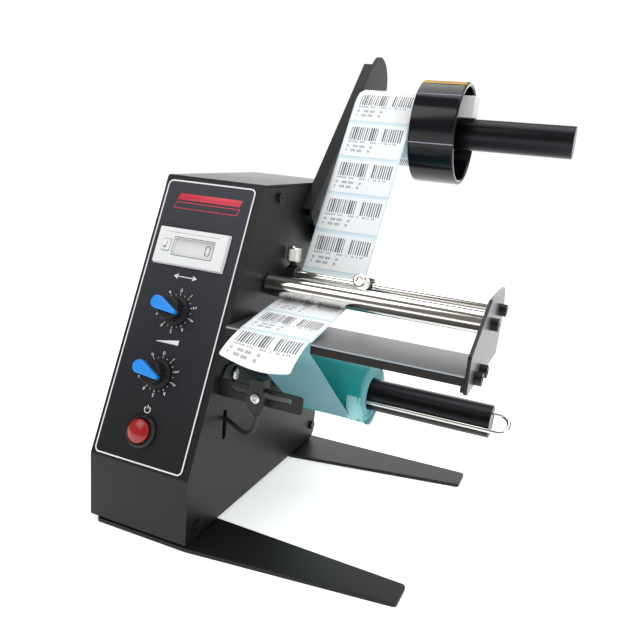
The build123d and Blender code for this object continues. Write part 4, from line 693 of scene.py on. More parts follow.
def peeledLabel():
    # place = start + radius * sin(bend) forward, and down by radius * (1 - cos(bend)) + drop
    _, start, normal = straightRun(*webCircles(labelSide)[2:4])
    out = 1 - alongLabel / stock["labelLength"]
    bend = out * stock["labelLength"] / peeled["radius"]
    side = acrossLabel / (stock["labelWidth"] / 2)
    drop = (peeled["bow"] * out ** 2 * np.cos(math.pi / 2 * (side - peeled["bowShift"]))
            + peeled["twist"] * side * out)
    forward, sunk = peeled["radius"] * np.sin(bend), peeled["radius"] * (1 - np.cos(bend)) + drop
    label("label_peeled", gridOf(labelX, start[0] - forward * normal[1] - sunk * normal[0],
                                 start[1] + forward * normal[0] - sunk * normal[1]),
          "machine", facing=(0.0, -0.3, 1.0))


peeledLabel()

# Bare liner from the edge down to the take-up roll; its middle is slack and its edges curl a little. It is
# the liner of the plate, painted a darker grey-teal as painted shade
bareLiner = {"slack": 1.2, "curl": 0.5, "skew": (2.2, 3), "tight": 0.12}      # tight is a share of its way
rows = webLayer[2][webLayer[2] >= noseAt - 0.01][:, None]
share = (rows - noseAt) / (rows[-1] - noseAt)
side = (across - webMiddle) / (webRight - webMiddle)
phase = bareLiner["skew"][0] * side + bareLiner["skew"][1] * share
sag = -np.sin(math.pi * share) ** 2 * (bareLiner["slack"] * (0.5 + 0.5 * np.sin(phase))
                                       - bareLiner["curl"] * side ** 4)
surface("bare_liner", onPath(webLayer, noseAt, rows, across, sag * (share > bareLiner["tight"])), "machine",
        ["linerInPaintedShade"], wall=(stock["linerThickness"], 0), facing=(0.0, -1.0, 0.0),
        replaced=("liner_web",))


print("shapes: rolls")
core = {"edge": 0.3, "gap": 0.25}
coreRadius = radiusOf("label_core")
# Wound rolls by piece: node, body, bore, layer pitch, raggedness, seed, paints of the sides and the outside
rolls = {"label_windings": ("label_roll", "supply_roll", coreRadius + 0.02, 0.75, 0.35, 4,
                            ["rollSide", "paleLiner"]),
         "liner_windings": ("liner_roll", "take_up", spindleRadius + 0.15, 0.6, 0.9, 9,
                            ["linerSide", "liner"])}


def woundRoll(name, node, body, inner, pitch, ragged, seed, paintNames, segments=144):
    # a wound roll: layer after layer, radius r = inner + i * pitch, whose two edges lie at
    # x = end -+ ragged * (random + 0.6 * random * (1 + cos(angle + random))), and a smooth outer wall
    random = np.random.default_rng(seed)
    outer = radiusOf(node)
    count = int((outer - inner) / pitch)
    angle = np.linspace(0, 2 * math.pi, segments, endpoint=False)
    radius = np.repeat(np.linspace(inner, outer, count + 1), 2)[1:-1][:, None]
    edges = []
    for place, sense in zip(spanOf(node), (1, -1)):
        parts = random.random((count, 3))
        shift = ragged * (parts[:, :1] + 0.6 * parts[:, 1:2] * (1 + np.cos(angle + 6.3 * parts[:, 2:])))
        edges.append(np.repeat(place + sense * shift, 2, 0))
    x = np.vstack([edges[0], edges[1][::-1]])
    faceSlots = np.zeros(x.shape, int)
    faceSlots[2 * count - 1] = 1
    surface(name, aroundX(x, middleOf(node)[1:], np.vstack([radius, radius[::-1]]), angle), body, paintNames,
            faceSlots=faceSlots, closeRows=True, closeColumns=True, replaced=(node,))


profile = sleeve(*spanOf("label_core"), shaftRadius + core["gap"], coreRadius)
turned("core_tube", rounded(profile, core["edge"], 3), [0, *shaftYz], "supply_roll", "core", segments=128,
       replaced=("label_core",))
woundRoll("label_windings", *rolls["label_windings"])

# Labels of the outer layer, which turn with the roll: they go on where the web's own labels end
outerLabels = {"count": 4, "thickness": 0.1}
leave = straightRun(*webCircles(labelSide)[:2])[2]
rollRadius = radiusOf("label_roll")
for number in range(outerLabels["count"]):
    travel = labelEnd - stock["gap"] - (labelCount + number) * labelPitch - alongLabel
    angle = math.atan2(leave[1], leave[0]) - math.radians(onRoll) + travel / rollRadius
    label("roll_label_%d" % (number + 1),
          aroundX(labelX, shaftYz, rollRadius + stock["labelThickness"] / 2, angle), "supply_roll",
          outerLabels["thickness"], facing=shaftYz)
woundRoll("liner_windings", *rolls["liner_windings"])

# Loose outer turns of the wound liner: r = roll + base + lift * wave + flare, with a torn right edge that
# flares. They start at an angle and go on for the turn, in degrees; left and right are drawn in from the ends
looseTurns = [
    {"start": 35.0, "turn": 300.0, "left": 0.4, "right": 3.2, "base": 0.2, "lift": 0.3, "flare": 1.0,
     "seed": 2, "paint": "liner"},
    {"start": 170.0, "turn": 250.0, "left": 46.0, "right": -1.4, "base": 0.8, "lift": 0.5, "flare": 1.8,
     "seed": 5, "paint": "cyanLiner"}]
loose = {"tear": 1.2, "tearWaves": (2, 5, 9, 14), "flareWaves": 31, "flareFrom": 14, "waves": (13, 2),
         "thickness": 0.15, "rows": 150, "columns": 30}
for number, turn in enumerate(looseTurns):
    random = np.random.default_rng(turn["seed"])
    t, w = np.linspace(0, 1, loose["rows"])[:, None], np.linspace(0, 1, loose["columns"])
    start, end = spanOf("liner_roll")
    tear = sum(random.random() * np.sin(t * k * 6.3 + 6.3 * random.random()) / k for k in loose["tearWaves"])
    left, right = start + turn["left"], end - turn["right"] + loose["tear"] * tear
    flare = turn["flare"] * w ** loose["flareFrom"] * (0.6 + 0.4 * np.sin(t * loose["flareWaves"] + number))
    wave = 0.5 + 0.5 * np.sin(t * loose["waves"][0] + loose["waves"][1] * w)
    r = radiusOf("liner_roll") + turn["base"] + turn["lift"] * wave + flare
    angle = np.radians(turn["start"] + turn["turn"] * t)
    surface("liner_turn_%d" % (number + 1), aroundX(left + (right - left) * w, takeupYz, r, angle), "take_up",
            [turn["paint"]], wall=(loose["thickness"], 0), facing=takeupYz, slot="liner_paper")


print("shapes: clip")
# A wire bent back on itself; its outer leg lies along the spindle and its inner leg goes into the plug
clip = {"wire": 1.5, "gap": 0.15, "outerAngle": 188.0, "innerShift": (-0.5, 6.5), "bendStart": 172.5,
        "innerEnd": 145.0, "legSteps": (60, 12), "bendSteps": 28, "sides": 20, "capSteps": 6}


def clipLine():
    # two legs along x, joined by half an ellipse: place = middle + cos a * half the way between the legs,
    # with x = bend start + reach * sin a
    start, end = spanOf("takeup_clip")
    reach = spindleRadius + clip["wire"] + clip["gap"]
    outer = aroundX(0, takeupYz, reach, math.radians(clip["outerAngle"]))[1:]
    inner = takeupYz + clip["innerShift"]
    turn = np.linspace(0, math.pi, clip["bendSteps"] + 2)[1:-1]
    bend = (outer + inner) / 2 + np.cos(turn)[:, None] * (outer - inner) / 2
    bendX = clip["bendStart"] + (end - clip["wire"] - clip["bendStart"]) * np.sin(turn)
    outerX = np.linspace(start + clip["wire"], clip["bendStart"], clip["legSteps"][0])
    innerX = np.linspace(clip["bendStart"], clip["innerEnd"], clip["legSteps"][1])
    return np.vstack([gridOf(outerX, *outer), gridOf(bendX, *bend.T), gridOf(innerX, *inner)])


def clipWire(centres):
    # a circle carried along a path, point = centre + radius * (cos a * side + sin a * up), whose side turns
    # from point to point by the least angle; quarter circles round off both ends
    ways = np.gradient(centres, axis=0)
    ways /= np.linalg.norm(ways, axis=1, keepdims=True)
    side, sides = np.cross(ways[0], [0.3, 0.5, 0.8]), []
    for way in ways:
        side = side - way * (side @ way)
        side = side / np.linalg.norm(side)
        sides.append(side)
    sides = np.array(sides)
    cap = np.linspace(0, math.pi / 2, clip["capSteps"])
    between = np.ones(len(centres) - 2)
    index = np.repeat(np.arange(len(centres)), [len(cap)] + [1] * len(between) + [len(cap)])
    scale = np.concatenate([np.sin(cap), between, np.cos(cap)])[:, None, None] * clip["wire"]
    push = np.concatenate([-np.cos(cap), 0 * between, np.sin(cap)])[:, None] * clip["wire"]
    angle = np.linspace(0, 2 * math.pi, clip["sides"], endpoint=False)[None, :, None]
    ring = np.cos(angle) * sides[index][:, None] + np.sin(angle) * np.cross(ways, sides)[index][:, None]
    surface("clip_wire", (centres[index] + ways[index] * push)[:, None] + ring * scale, "clip", ["chrome"],
            closeColumns=True, flats=False, replaced=("takeup_clip",))


clipWire(clipLine())


print("shapes: thumb screws and collars")
# Profiles are (distance from the rod's axis, radius), and the collar has its bore and radius
thumb = {"head": [(9.8, 0), (9.8, 4.1), (10.7, 4.8), (11.0, 5.3), (20.0, 5.3), (20.3, 4.8), (21.1, 4.1),
                  (21.1, 2.6), (20.6, 2.2), (20.6, 0)],
         "neck": [(4.1, 0), (4.1, 2.0), (7.1, 2.0), (7.1, 2.8), (10.1, 2.8), (10.1, 0)],
         "knurled": (10.8, 20.2), "knurl": 0.28, "knurls": 34, "collar": (4.1, 7.0),
         "headEdge": 0.25, "neckEdge": 0.2, "collarEdge": 0.5}


def knurls(angle, place, radius):
    # ridges on a head: radius falls by knurl * (1 - |sin(knurls * angle / 2)|) between two places
    inside = (place > thumb["knurled"][0]) & (place < thumb["knurled"][1])
    return -thumb["knurl"] * inside * (1 - np.abs(np.sin(thumb["knurls"] * angle / 2)))


for side in ("left", "right"):
    node = side + "_thumb_screw"
    seat = np.array([spanOf(side + "_collar").mean(), *rodYz])
    away = (middleOf(node) - seat) * (0, 1, 1)
    away /= np.linalg.norm(away)
    turned(side + "_thumb_head", rounded(thumb["head"], thumb["headEdge"], 3), seat, side + "_thumb",
           "chrome", away, segments=thumb["knurls"] * 6, ripple=knurls, replaced=(node,))
    turned(side + "_thumb_neck", rounded(thumb["neck"], thumb["neckEdge"], 3), seat, side + "_thumb",
           "blackened", away, segments=48, slot="screw_black")
    profile = sleeve(*spanOf(side + "_collar"), *thumb["collar"])
    turned(side + "_guide_collar", rounded(profile, thumb["collarEdge"]), [0, *rodYz], side + "_guide",
           "anodised", segments=72, replaced=(side + "_collar",))


print("shapes: knobs and button")
# Profiles are (height off the panel, radius)
knob = {"profile": [(1.0, 0), (1.0, 10.5), (3.2, 10.1), (3.2, 8.55), (11.9, 8.05), (12.0, 0)], "top": 12.0,
        "round": 0.9, "ringPitch": 0.8, "fluted": (3.5, 11.5), "fluteFrom": 7.6, "flutes": 18, "flute": 0.55}
pointer = {"angle": 72.0, "roundAt": 7.2, "roundRadius": 4.6, "tipAt": -8.0, "tipRadius": 1.3, "top": 16.6,
           "edge": 1.1, "sunk": 0.6, "arcSteps": (48, 32), "edgeSteps": 7}


def flutes(angle, place, radius):
    # grip flutes: radius falls by flute * max(0, cos(flutes * angle))^3 between the skirt and the top
    inside = (place > knob["fluted"][0]) & (place < knob["fluted"][1]) & (radius > knob["fluteFrom"])
    return -knob["flute"] * inside * np.maximum(0, np.cos(knob["flutes"] * angle)) ** 3


def pointerOutline():
    # an arc round the big circle, then one round the small circle, joined by the lines that touch both,
    # which lean by asin((R - r) / distance); all of it turned to the pointer's angle
    distance = pointer["roundAt"] - pointer["tipAt"]
    half = math.pi / 2 + math.asin((pointer["roundRadius"] - pointer["tipRadius"]) / distance)
    arcs = [(pointer["roundAt"], pointer["roundRadius"], np.linspace(-half, half, pointer["arcSteps"][0])),
            (pointer["tipAt"], pointer["tipRadius"],
             np.linspace(half, 2 * math.pi - half, pointer["arcSteps"][1]))]
    outline = np.vstack([np.stack([at + r * np.cos(a), r * np.sin(a)], -1) for at, r, a in arcs])
    turn = math.radians(90 + pointer["angle"])
    return outline @ swung((math.cos(turn), math.sin(turn)), [0, math.pi / 2])


def pointerShell(name, outline, **rest):
    # the outline raised in steps and drawn in along a quarter circle, then closed to its middle at both ends
    edges = np.roll(outline, -1, 0) - np.roll(outline, 1, 0)
    normals = np.stack([edges[:, 1], -edges[:, 0]], -1) / np.linalg.norm(edges, axis=1, keepdims=True)
    arc = np.linspace(0, math.pi / 2, pointer["edgeSteps"])
    heights = np.append(knob["top"] - pointer["sunk"], pointer["top"] - pointer["edge"] * (1 - np.sin(arc)))
    insets = np.append(0.0, pointer["edge"] * (1 - np.cos(arc)))
    rings = outline - normals * insets[:, None, None]
    middle = np.broadcast_to(outline.mean(0), (1,) + outline.shape)
    rings = np.concatenate([middle, rings, middle])
    heights = np.concatenate([heights[:1], heights, heights[-1:]])[:, None]
    points = onPanel(gridOf(rings[..., 0], rings[..., 1], heights))
    surface(name, points, paintNames=["blue"], closeColumns=True, **rest)


for dial, at in dialAt.items():
    body = jointNamed[dial + "_turn"]["child"]
    profile = rounded(knob["profile"], knob["round"], 5)
    lines = [profile[0]]
    for a, b in zip(profile, profile[1:]):      # more rings on the grip, so that the flutes have an even wall
        steps = max(int(np.linalg.norm(b - a) / knob["ringPitch"]), 1)
        lines.extend(a + (b - a) * k / steps for k in range(1, steps + 1))
    turned(dial + "_knob_grip", lines, onPanel([*at, 0.0]), body, "black", panelOut, segments=180,
           ripple=flutes, replaced=(dial + "_knob",))
    pointerShell(dial + "_knob_pointer", pointerOutline() + at, body=body, replaced=(dial + "_pointer",))

# The dome's height falls from the top by dome * (r / radius)^fall
button = {"radius": 8.3, "foot": 0.3, "top": 7.1, "dome": 2.2, "fall": 2.2, "steps": 14, "ringEdge": 0.35,
          "ring": [(0.4, 8.6), (0.4, 11.6), (2.2, 11.6), (3.6, 10.2), (3.6, 9.2), (3.0, 8.6), (0.4, 8.6)]}
buttonAt = fromPanel(middleOf("power_bezel"))[:2]
rise = np.linspace(1, 0, button["steps"])
dome = np.column_stack([button["top"] - button["dome"] * rise ** button["fall"], button["radius"] * rise])
turned("power_dome", np.vstack([[(button["foot"], 0), (button["foot"], button["radius"])], dome]),
       onPanel([*buttonAt, 0.0]), "power_key", "dome", panelOut, replaced=("power_button",))
turned("power_ring", rounded(button["ring"], button["ringEdge"], 3), onPanel([*buttonAt, 0.0]), "machine",
       "black", panelOut, replaced=("power_bezel",))


print("print on the panel")


def flatPrint(name, lines, paintName, height=panel["printAt"], body="machine", slot="overlay", **rest):
    # two or more lines of (x, v) with the ink between them, a hair's breadth thick
    flat = np.asarray(lines, float)
    points = onPanel(gridOf(flat[..., 0], flat[..., 1], height))
    surface(name, points, body, [paintName], wall=(panel["ink"], -1), flats=False, facing=panelOut, slot=slot,
            **rest)


def roundedBox(x0, x1, v0, v1, radius, steps=8):
    # corner arcs of a rounded rectangle, in order
    arc = np.linspace(0, math.pi / 2, steps)
    corners = [(x1 - radius, v1 - radius), (x0 + radius, v1 - radius), (x0 + radius, v0 + radius),
               (x1 - radius, v0 + radius)]
    return np.vstack([centre + radius * swung((1.0, 0.0), arc + k * math.pi / 2)
                      for k, centre in enumerate(corners)])


def frameLine(name, x0, x1, v0, v1, radius, width, paintName, **rest):
    flatPrint(name, [roundedBox(x0, x1, v0, v1, radius),
                     roundedBox(x0 + width, x1 - width, v0 + width, v1 - width, max(radius - width, 0.05))],
              paintName, closeColumns=True, **rest)


def writing(name, words, size, place, angle):       # a text's triangles, turned and laid on the panel
    curve = bpy.data.curves.new(name, "FONT")
    curve.body, curve.size, curve.resolution_u = words, size, 3
    curve.align_x = curve.align_y = "CENTER"
    flat = meshOf(curve)
    turn = swung((math.cos(angle), math.sin(angle)), [0, math.pi / 2])
    points = read(flat.vertices, "co", 3)[:, :2] @ turn
    flatPrint(name, points + place, "ink", faces=read(flat.loops, "vertex_index", 1, np.int32).reshape(-1, 3))
    bpy.data.meshes.remove(flat)


def meshOf(curve):       # the mesh that a curve or a text makes
    holder = bpy.data.objects.new(curve.name, curve)
    scene.collection.objects.link(holder)
    bpy.context.view_layer.update()
    mesh = bpy.data.meshes.new_from_object(holder.evaluated_get(bpy.context.evaluated_depsgraph_get()))
    bpy.data.objects.remove(holder)
    return mesh


def bar(place, way, inner, outer, width):
    # corners of a short bar that points along way from a place
    place, way = np.asarray(place), np.asarray(way)
    across = np.array([-way[1], way[0]]) * width / 2
    return [[place + way * inner + side * across, place + way * outer + side * across] for side in (-1, 1)]


border = {"bottom": 2.0, "top": 202.5, "radius": 4.0, "width": 1.0, "inset": 0.5}
left, right = spanOf("panel_overlay")
frameLine("panel_border", left + border["inset"], right - border["inset"], border["bottom"], border["top"],
          border["radius"], border["width"], "ink")

# Plain red bars at the top: a solid one, and an outlined one that leans the same way
banner = {"solid": (-66.5, -15.0, 188.2, 193.0), "hollow": (-68.0, -15.6, 181.6, 186.6), "lean": 0.35,
          "line": 0.55}


def leaning(x0, x1, v0, v1, inset=0.0):
    x0, x1, v0, v1 = x0 + inset, x1 - inset, v0 + inset, v1 - inset
    shift = banner["lean"] * (v1 - v0)
    return [(x0, v0), (x1, v0), (x1 + shift, v1), (x0 + shift, v1)]


a, b, c, d = leaning(*banner["solid"])
flatPrint("red_bar", [[a, b], [d, c]], "redInk")
flatPrint("red_frame", [leaning(*banner["hollow"]), leaning(*banner["hollow"], banner["line"])], "redInk",
          closeColumns=True)

# Dials: ten digits a tenth of a turn apart, a long tick in front of each and a short one between
scale = {"digitAt": 14.5, "digitSize": 3.9, "ticks": ((10.9, 12.6), (11.0, 12.0)), "tickWidth": 0.36,
         "step": -18, "steps": 20}
for dial, at in dialAt.items():
    for step in range(scale["steps"]):
        turn = math.radians(scale["step"] * step)
        way = np.array([-math.sin(turn), math.cos(turn)])
        tick = bar(at, way, *scale["ticks"][step % 2], scale["tickWidth"])
        flatPrint("%s_tick_%02d" % (dial, step), tick, "ink")
        if step % 2 == 0:
            writing("%s_digit_%d" % (dial, step // 2), str(step // 2), scale["digitSize"],
                    at + way * scale["digitAt"], turn)

# Pictograms in place of captions: a double arrow, a wedge and a power sign
signs = {"length": 133.0, "speed": 87.0, "power": 38.5}


def signLine(name, x, v, points):        # lines of places about (x, v)
    flatPrint(name, np.array(points, float) + [x, v], "ink")


x, v = dialAt["length"][0], signs["length"]
signLine("length_sign_line", x, v, [[(-7, -0.35), (7, -0.35)], [(-7, 0.35), (7, 0.35)]])
for sense in (-1, 1):
    signLine("length_sign_tip_%d" % (sense + 2), x, v,
             [[(sense * 6, -2), (sense * 6, 2)], [(sense * 9.5, 0), (sense * 9.5, 0)]])
signLine("speed_sign", dialAt["speed"][0], signs["speed"], [[(-9, -1.6), (9, -1.6)], [(-9, -1.2), (9, 2.0)]])
arc = swung((1.0, 0.0), np.radians(np.linspace(125, 415, 32)))
signLine("power_sign_arc", buttonAt[0], signs["power"], [arc * 2.0, arc * 2.6])
signLine("power_sign_stroke", buttonAt[0], signs["power"], bar((0, 0), (0, 1), 0.7, 3.2, 0.6))


def printHeight(node):   # where ink lies on a node, as a height off the panel
    return fromPanel(fromFrame(read(nodes[node].data.vertices, "co", 3)))[:, 2].max() + panel["ink"]


print("shapes: counter and small screws")
counter = {"line": 0.45, "lineOut": (1.1, 0.6), "lineRadius": 0.8, "digitWidth": 3.4, "digitHeight": 6.8,
           "stroke": 0.6, "strokeGap": 0.35, "digitShift": 11.4}
counterX, counterV, _ = fromPanel(middleOf("counter_window"))
low, high = spanOf("counter_window") + (-counter["lineOut"][0], counter["lineOut"][0])
windowV = np.ptp(boxOf("counter_window")[:, 2]) / 2 / panelAxes[1, 2]
lineV = windowV + counter["lineOut"][1]
onCase = {"height": printHeight("counter_case"), "slot": "bezel_white"}
frameLine("window_line", low, high, counterV - lineV, counterV + lineV, counter["lineRadius"],
          counter["line"], "darkInk", **onCase)
# A nought in seven-segment strokes: six bars about the middle of its cell
digitX = counterX + counter["digitShift"]
halfWide, halfHigh = counter["digitWidth"] / 2, counter["digitHeight"] / 2
strokes = [((digitX, counterV + sense * halfHigh), (1, 0), halfWide) for sense in (-1, 1)]
strokes += [((digitX + side * halfWide, counterV + sense * halfHigh / 2), (0, 1), halfHigh / 2)
            for side in (-1, 1) for sense in (-1, 1)]
for number, (spot, way, reach) in enumerate(strokes):
    reach -= counter["strokeGap"]
    flatPrint("counter_stroke_%d" % number, bar(spot, way, -reach, reach, counter["stroke"]), "darkInk",
              height=printHeight("counter_window"), slot="display")
bezelLine = {"side": 6.5, "rise": 3.4, "width": 0.3}
left, right = spanOf("counter_case") + (bezelLine["side"], -bezelLine["side"])
bezelV = counterV + windowV + bezelLine["rise"]
flatPrint("bezel_line", [[(left, bezelV + lift), (right, bezelV + lift)] for lift in (0, bezelLine["width"])],
          "greyInk", **onCase)
resetX, resetV, _ = fromPanel(middleOf("counter_reset"))
# Marks on the reset key: sideways and upwards from its middle, half the length, and width
resetMarks = {"reset_stroke": (0.6, 0.0, 2.6, 0.45), "reset_dot": (-0.8, -1.6, 0.7, 1.3)}
for name, (aside, lift, reach, width) in resetMarks.items():
    flatPrint(name, bar((resetX + aside, resetV + lift), (0, 1), -reach, reach, width), "darkInk",
              body="reset_key", height=printHeight("counter_reset"), slot="bezel_white")

# Block on the roll stop; flat is the share of its grid between the roundings
block = {"edge": 1.0, "steps": 5, "flat": 0.98}


def stopBlock():
    # a box with rounded edges: a cube's grid is drawn in to the box's core, and each point is then pushed out
    # by the edge radius, along the way from the core to its place on the cube
    low, high = boxOf("ring_block")
    flat, edge = block["flat"], block["edge"]
    t = np.concatenate([np.linspace(-1, -flat, block["steps"]), np.linspace(flat, 1, block["steps"])])
    a, b = np.meshgrid(t, t, indexing="ij")
    cube = np.stack([np.roll(np.stack([a[:, ::sign], b[:, ::sign], np.full_like(a, sign)], -1), axis, -1)
                     for axis in range(3) for sign in (-1, 1)]).reshape(-1, 3)
    ramp = np.sign(cube) * np.clip((np.abs(cube) - flat) / (1 - flat), 0, 1)
    core = np.sign(cube) * ((high - low) / 2 - edge) * (np.abs(cube) >= flat)
    away = ramp / np.maximum(np.linalg.norm(ramp, axis=1, keepdims=True), 1e-9)
    faces = np.vstack([gridFaces(*a.shape) + side * a.size for side in range(6)])
    surface("stop_block", (high + low) / 2 + core + away * edge, "roll_stop", ["block"],
            faces=faces, replaced=("ring_block",))


stopBlock()

# Cross-headed screws by node: axis, radius, where the head's top is along it, crown, turn of the cross, body
screws = {"bracket_screw": ((1, 0, 0), 3.8, spanOf("bracket_screw")[1], 0.9, 0.5, "machine"),
          "sensor_screw": ((0, -1, 0), 3.4, -boxOf("sensor_screw")[0, 1], 0.8, 0.7, "sensor")}
cross = {"width": 0.13, "reach": 0.62, "depth": 0.4, "taper": 0.5, "slant": 0.25, "skirt": 1.6, "edge": 0.35,
         "edgeFrom": 0.93, "rings": (30, 8), "ringEnds": (0.72, 0.74), "spokes": 120}


def crossScrew(node, axis, radius, top, crown, spin, body):
    # height = top - crown * (r / R)^2 - edge rounding - depth inside the cross, where the cross is two
    # crossed bars whose walls lean over `slant` millimetres
    axis = np.asarray(axis, float)
    side = np.cross(axis, [0.0, 0.0, 1.0])
    (inner, outer), (fine, coarse) = cross["ringEnds"], cross["rings"]
    r = radius * np.append(np.linspace(0, inner, fine), np.linspace(outer, 1, coarse))[:, None]
    a = np.linspace(0, 2 * math.pi, cross["spokes"], endpoint=False)
    p, q = np.abs(r * np.cos(a + spin)), np.abs(r * np.sin(a + spin))
    width, reach = radius * cross["width"], radius * cross["reach"]
    inside = np.maximum(np.minimum(width - p, reach - q), np.minimum(width - q, reach - p))
    depth = radius * cross["depth"] * (1 - cross["taper"] * r / reach)
    depth = depth * np.clip(inside / cross["slant"] + 0.5, 0, 1)
    edge = np.clip((r / radius - cross["edgeFrom"]) / (1 - cross["edgeFrom"]), 0, 1) ** 2 * cross["edge"]
    height = np.vstack([top - crown * (r / radius) ** 2 - edge - depth,
                        np.full((2, len(a)), top - crown - cross["skirt"])])
    r = np.vstack([r, [[radius], [0.0]]])
    points = (middleOf(node) * (1 - np.abs(axis)) + side * (r * np.cos(a))[..., None]
              + np.cross(side, axis) * (r * np.sin(a))[..., None] + axis * height[..., None])
    surface(node + "_head", points, body, ["zinc"], closeColumns=True, replaced=(node,))


for node, settings in screws.items():
    crossScrew(node, *settings)

print("shapes: sensor lead")
cable = {"radius": 0.0015, "roundness": 5, "steps": 12, "heldAt": 6}    # heldAt is a point of the route
# Points of its route, from the sensor into the slot in the side plate
leadRoute = [(31.4, 31.1, 96.4), (31.4, 31.1, 89.0), (27.6, 31.9, 82.6), (20.6, 34.4, 79.4),
             (11.8, 38.6, 80.2), (1.2, 43.9, 82.2), (-12.0, 45.6, 81.2), (-29.0, 58.0, 85.0),
             (-47.0, 75.0, 96.0), (-64.0, 90.0, 108.0), (-64.0, 107.8, 108.0)]
curve = bpy.data.curves.new("lead_route", "CURVE")
curve.dimensions = "3D"
curve.bevel_depth = cable["radius"]
curve.bevel_resolution = cable["roundness"]
curve.use_fill_caps = True
spline = curve.splines.new("NURBS")
spline.points.add(len(leadRoute) - 1)
for point, place in zip(spline.points, toFrame(leadRoute)):
    point.co = (*place, 1.0)
spline.order_u = 3
spline.use_endpoint_u = True
spline.resolution_u = cable["steps"]
leadMesh = meshOf(curve)
leadMesh.polygons.foreach_set("use_smooth", np.ones(len(leadMesh.polygons), bool))
lead = bpy.data.objects.new("sensor_cable", leadMesh)
scene.collection.objects.link(lead)
dress(lead, "cable")
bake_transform(lead)
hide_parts("sensor_lead")


print("CAD pieces")
cadPaints = {
    "powder": "front_cover rear_shell left_side right_side front_foot rear_foot roll_arm sensor_bracket",
    "steel": "tie_bars length_spindle speed_spindle roller_axle motor_shaft",
    "blackened": "housing_screws arm_screws shaft_bolt end_screws",
    "zinc": "potentiometers arm_spacers motor_screws bracket_screw sensor_screw",
    "black": "length_knob speed_knob power_bezel power_switch takeup_end_plug sensor_body",
    "chrome": "guide_rod guide_roller left_thumb_screw right_thumb_screw takeup_clip",
    "film": "panel_overlay", "white": "counter_case counter_reset", "display": "counter_window",
    "blue": "length_pointer speed_pointer", "dome": "power_button", "blackTube": "roll_shaft takeup_tube",
    "core": "label_core", "rollSide": "label_roll", "gloss": "roll_ring", "block": "ring_block",
    "endFace": "end_plate", "bronze": "roller_bushes", "anodised": "left_collar right_collar",
    "plate": "peel_plate", "paleLiner": "label_web", "label": "labels", "linerInPaintedShade": "liner_web",
    "liner": "liner_roll", "can": "gear_motor", "cable": "sensor_lead", "board": "control_board",
    "iron": "transformer", "inlet": "power_inlet",
}
for paintName, names in cadPaints.items():
    for node in names.split():
        dress(nodes[node], paintName)

# The sheet and moulded pieces by their edge rounding in millimetres
edgeRounding = {0.25: "peel_plate", 0.3: "front_cover rear_shell sensor_bracket",
                0.35: "left_side right_side end_plate counter_reset", 0.4: "power_inlet", 0.45: "roll_arm",
                0.5: "sensor_body counter_case", 0.6: "front_foot rear_foot"}
# Its distance is in metres and its angles are in degrees
shading = {"merge": 0.000002, "sharp": 30.0, "bevelFrom": 35.0, "flat": 0.3}


def tidyShading():       # a group that joins the loose triangles and smooths all but the sharp edges
    group = bpy.data.node_groups.new("tidy_shading", "GeometryNodeTree")
    for way in ("INPUT", "OUTPUT"):
        group.interface.new_socket("Geometry", in_out=way, socket_type="NodeSocketGeometry")
    tree = Tree(group)
    angle = tree.add("GeometryNodeInputMeshEdgeAngle", output="Unsigned Angle")
    smooth = angle < math.radians(shading["sharp"])
    steps = [("MergeByDistance", {}, {"Distance": shading["merge"]}),
             ("RemoveAttribute", {}, {"Name": "custom_normal"}), ("SetShadeSmooth", {}, {}),
             ("SetShadeSmooth", {"domain": "EDGE"}, {"Shade Smooth": smooth})]
    shape = tree.add("NodeGroupInput")
    for kind, settings, inputs in steps:
        shape = tree.add("GeometryNode" + kind, settings, {"Geometry": shape, **inputs})
    group.links.new(shape.socket, group.nodes.new("NodeGroupOutput").inputs[0])
    return group


group = tidyShading()
for rounding, names in edgeRounding.items():
    for modifiers in (nodes[node].modifiers for node in names.split()):
        modifiers.new("shading", "NODES").node_group = group
        level = modifiers.new("flat faces", "DECIMATE")
        level.decimate_type, level.angle_limit = "DISSOLVE", math.radians(shading["flat"])
        edge = modifiers.new("edges", "BEVEL")
        edge.width, edge.segments = rounding / 1000, 2
        edge.limit_method, edge.angle_limit = "ANGLE", math.radians(shading["bevelFrom"])
        edge.harden_normals = True

# Camera, from the photograph: azimuth, elevation and roll in degrees, lens in millimetres
view = {"azimuth": 22.29, "elevation": 14.91, "roll": 5.0, "place": (223.05, -341.71, 275.89), "lens": 38.39,
        "filmWidth": 36.0}


def makeCamera():
    camera = bpy.data.objects.new("camera", bpy.data.cameras.new("camera"))
    camera.matrix_world = Matrix.Translation(Vector(toFrame(view["place"])))
    for angle, axis in ((view["azimuth"], "Z"), (90 - view["elevation"], "X"), (view["roll"], "Z")):
        camera.matrix_world = camera.matrix_world @ Matrix.Rotation(math.radians(angle), 4, axis)
    camera.data.lens, camera.data.sensor_width = view["lens"], view["filmWidth"]
    scene.collection.objects.link(camera)
    scene.camera = camera


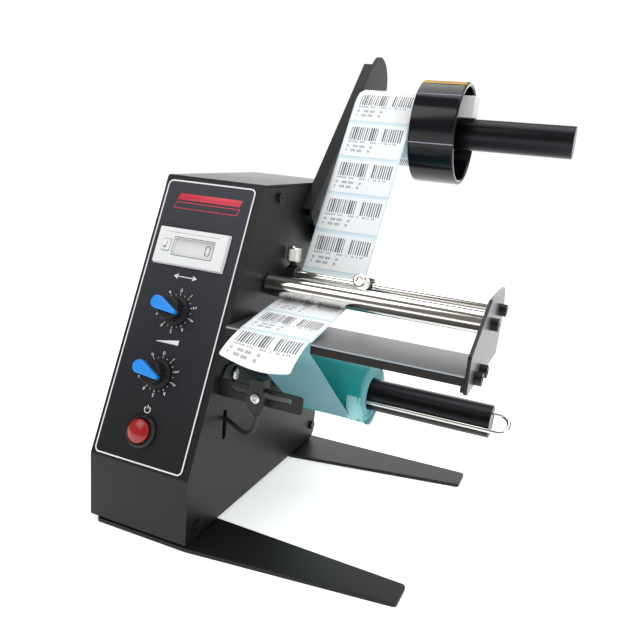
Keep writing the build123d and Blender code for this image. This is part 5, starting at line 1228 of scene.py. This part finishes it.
# Studio: a pale floor and soft boxes; place, aim, size in metres and power in watts. What mirrors see of the
# room is dim and warm, and what the camera sees is white.
studio = {"floor": 30.0, "pale": (0.9, 0.9, 0.9), "glow": 0.5, "seen": (1.0, 1.0, 1.0),
          "mirrored": (0.2, 0.186, 0.17), "fill": (0.62, 0.62, 0.62), "boxes": {
              "key": ((-0.9, -1.2, 1.5), (0.0, 0.0, 0.15), (1.2, 1.0), 9),
              "top": ((0.1, 0.25, 1.5), (0.0, 0.0, 0.1), (1.6, 1.0), 13),
              "side": ((1.4, -0.6, 0.8), (0.0, 0.0, 0.15), (0.7, 1.2), 6),
              "rear": ((-0.6, 2.4, 0.75), (0.0, 0.0, 0.2), (2.6, 1.1), 26)}}


def makeStudio():
    half = studio["floor"] / 2
    mesh = bpy.data.meshes.new("floor")
    square = [(-half, -half, 0), (half, -half, 0), (half, half, 0), (-half, half, 0)]
    mesh.from_pydata(square, [], [(0, 1, 2, 3)])
    floor = bpy.data.objects.new("floor", mesh)
    scene.collection.objects.link(floor)
    mesh.materials.append(Paint("pale_floor", studio["pale"], Roughness=0.8, Emission_Color=(1, 1, 1, 1),
                                Emission_Strength=studio["glow"]).material)
    for name, (place, aim, size, power) in studio["boxes"].items():
        light = bpy.data.lights.new(name, "AREA")
        light.shape, light.energy = "RECTANGLE", power
        light.size, light.size_y = size
        lamp = bpy.data.objects.new(name, light)
        lamp.location = place
        lamp.rotation_euler = (Vector(aim) - Vector(place)).to_track_quat("-Z", "Y").to_euler()
        lamp.visible_camera = False
        scene.collection.objects.link(lamp)
    scene.world = bpy.data.worlds.new("studio")
    scene.world.use_nodes = True
    room = Tree(scene.world.node_tree)
    shade = studio["fill"]
    for ray, seen in (("Is Glossy Ray", studio["mirrored"]), ("Is Camera Ray", studio["seen"])):
        shade = room.mix(room.add("ShaderNodeLightPath", output=ray), shade, seen)
    room.tree.links.new(shade.socket, room.tree.nodes["Background"].inputs["Color"])
    scene.view_settings.view_transform = "Standard"


makeCamera()
makeStudio()
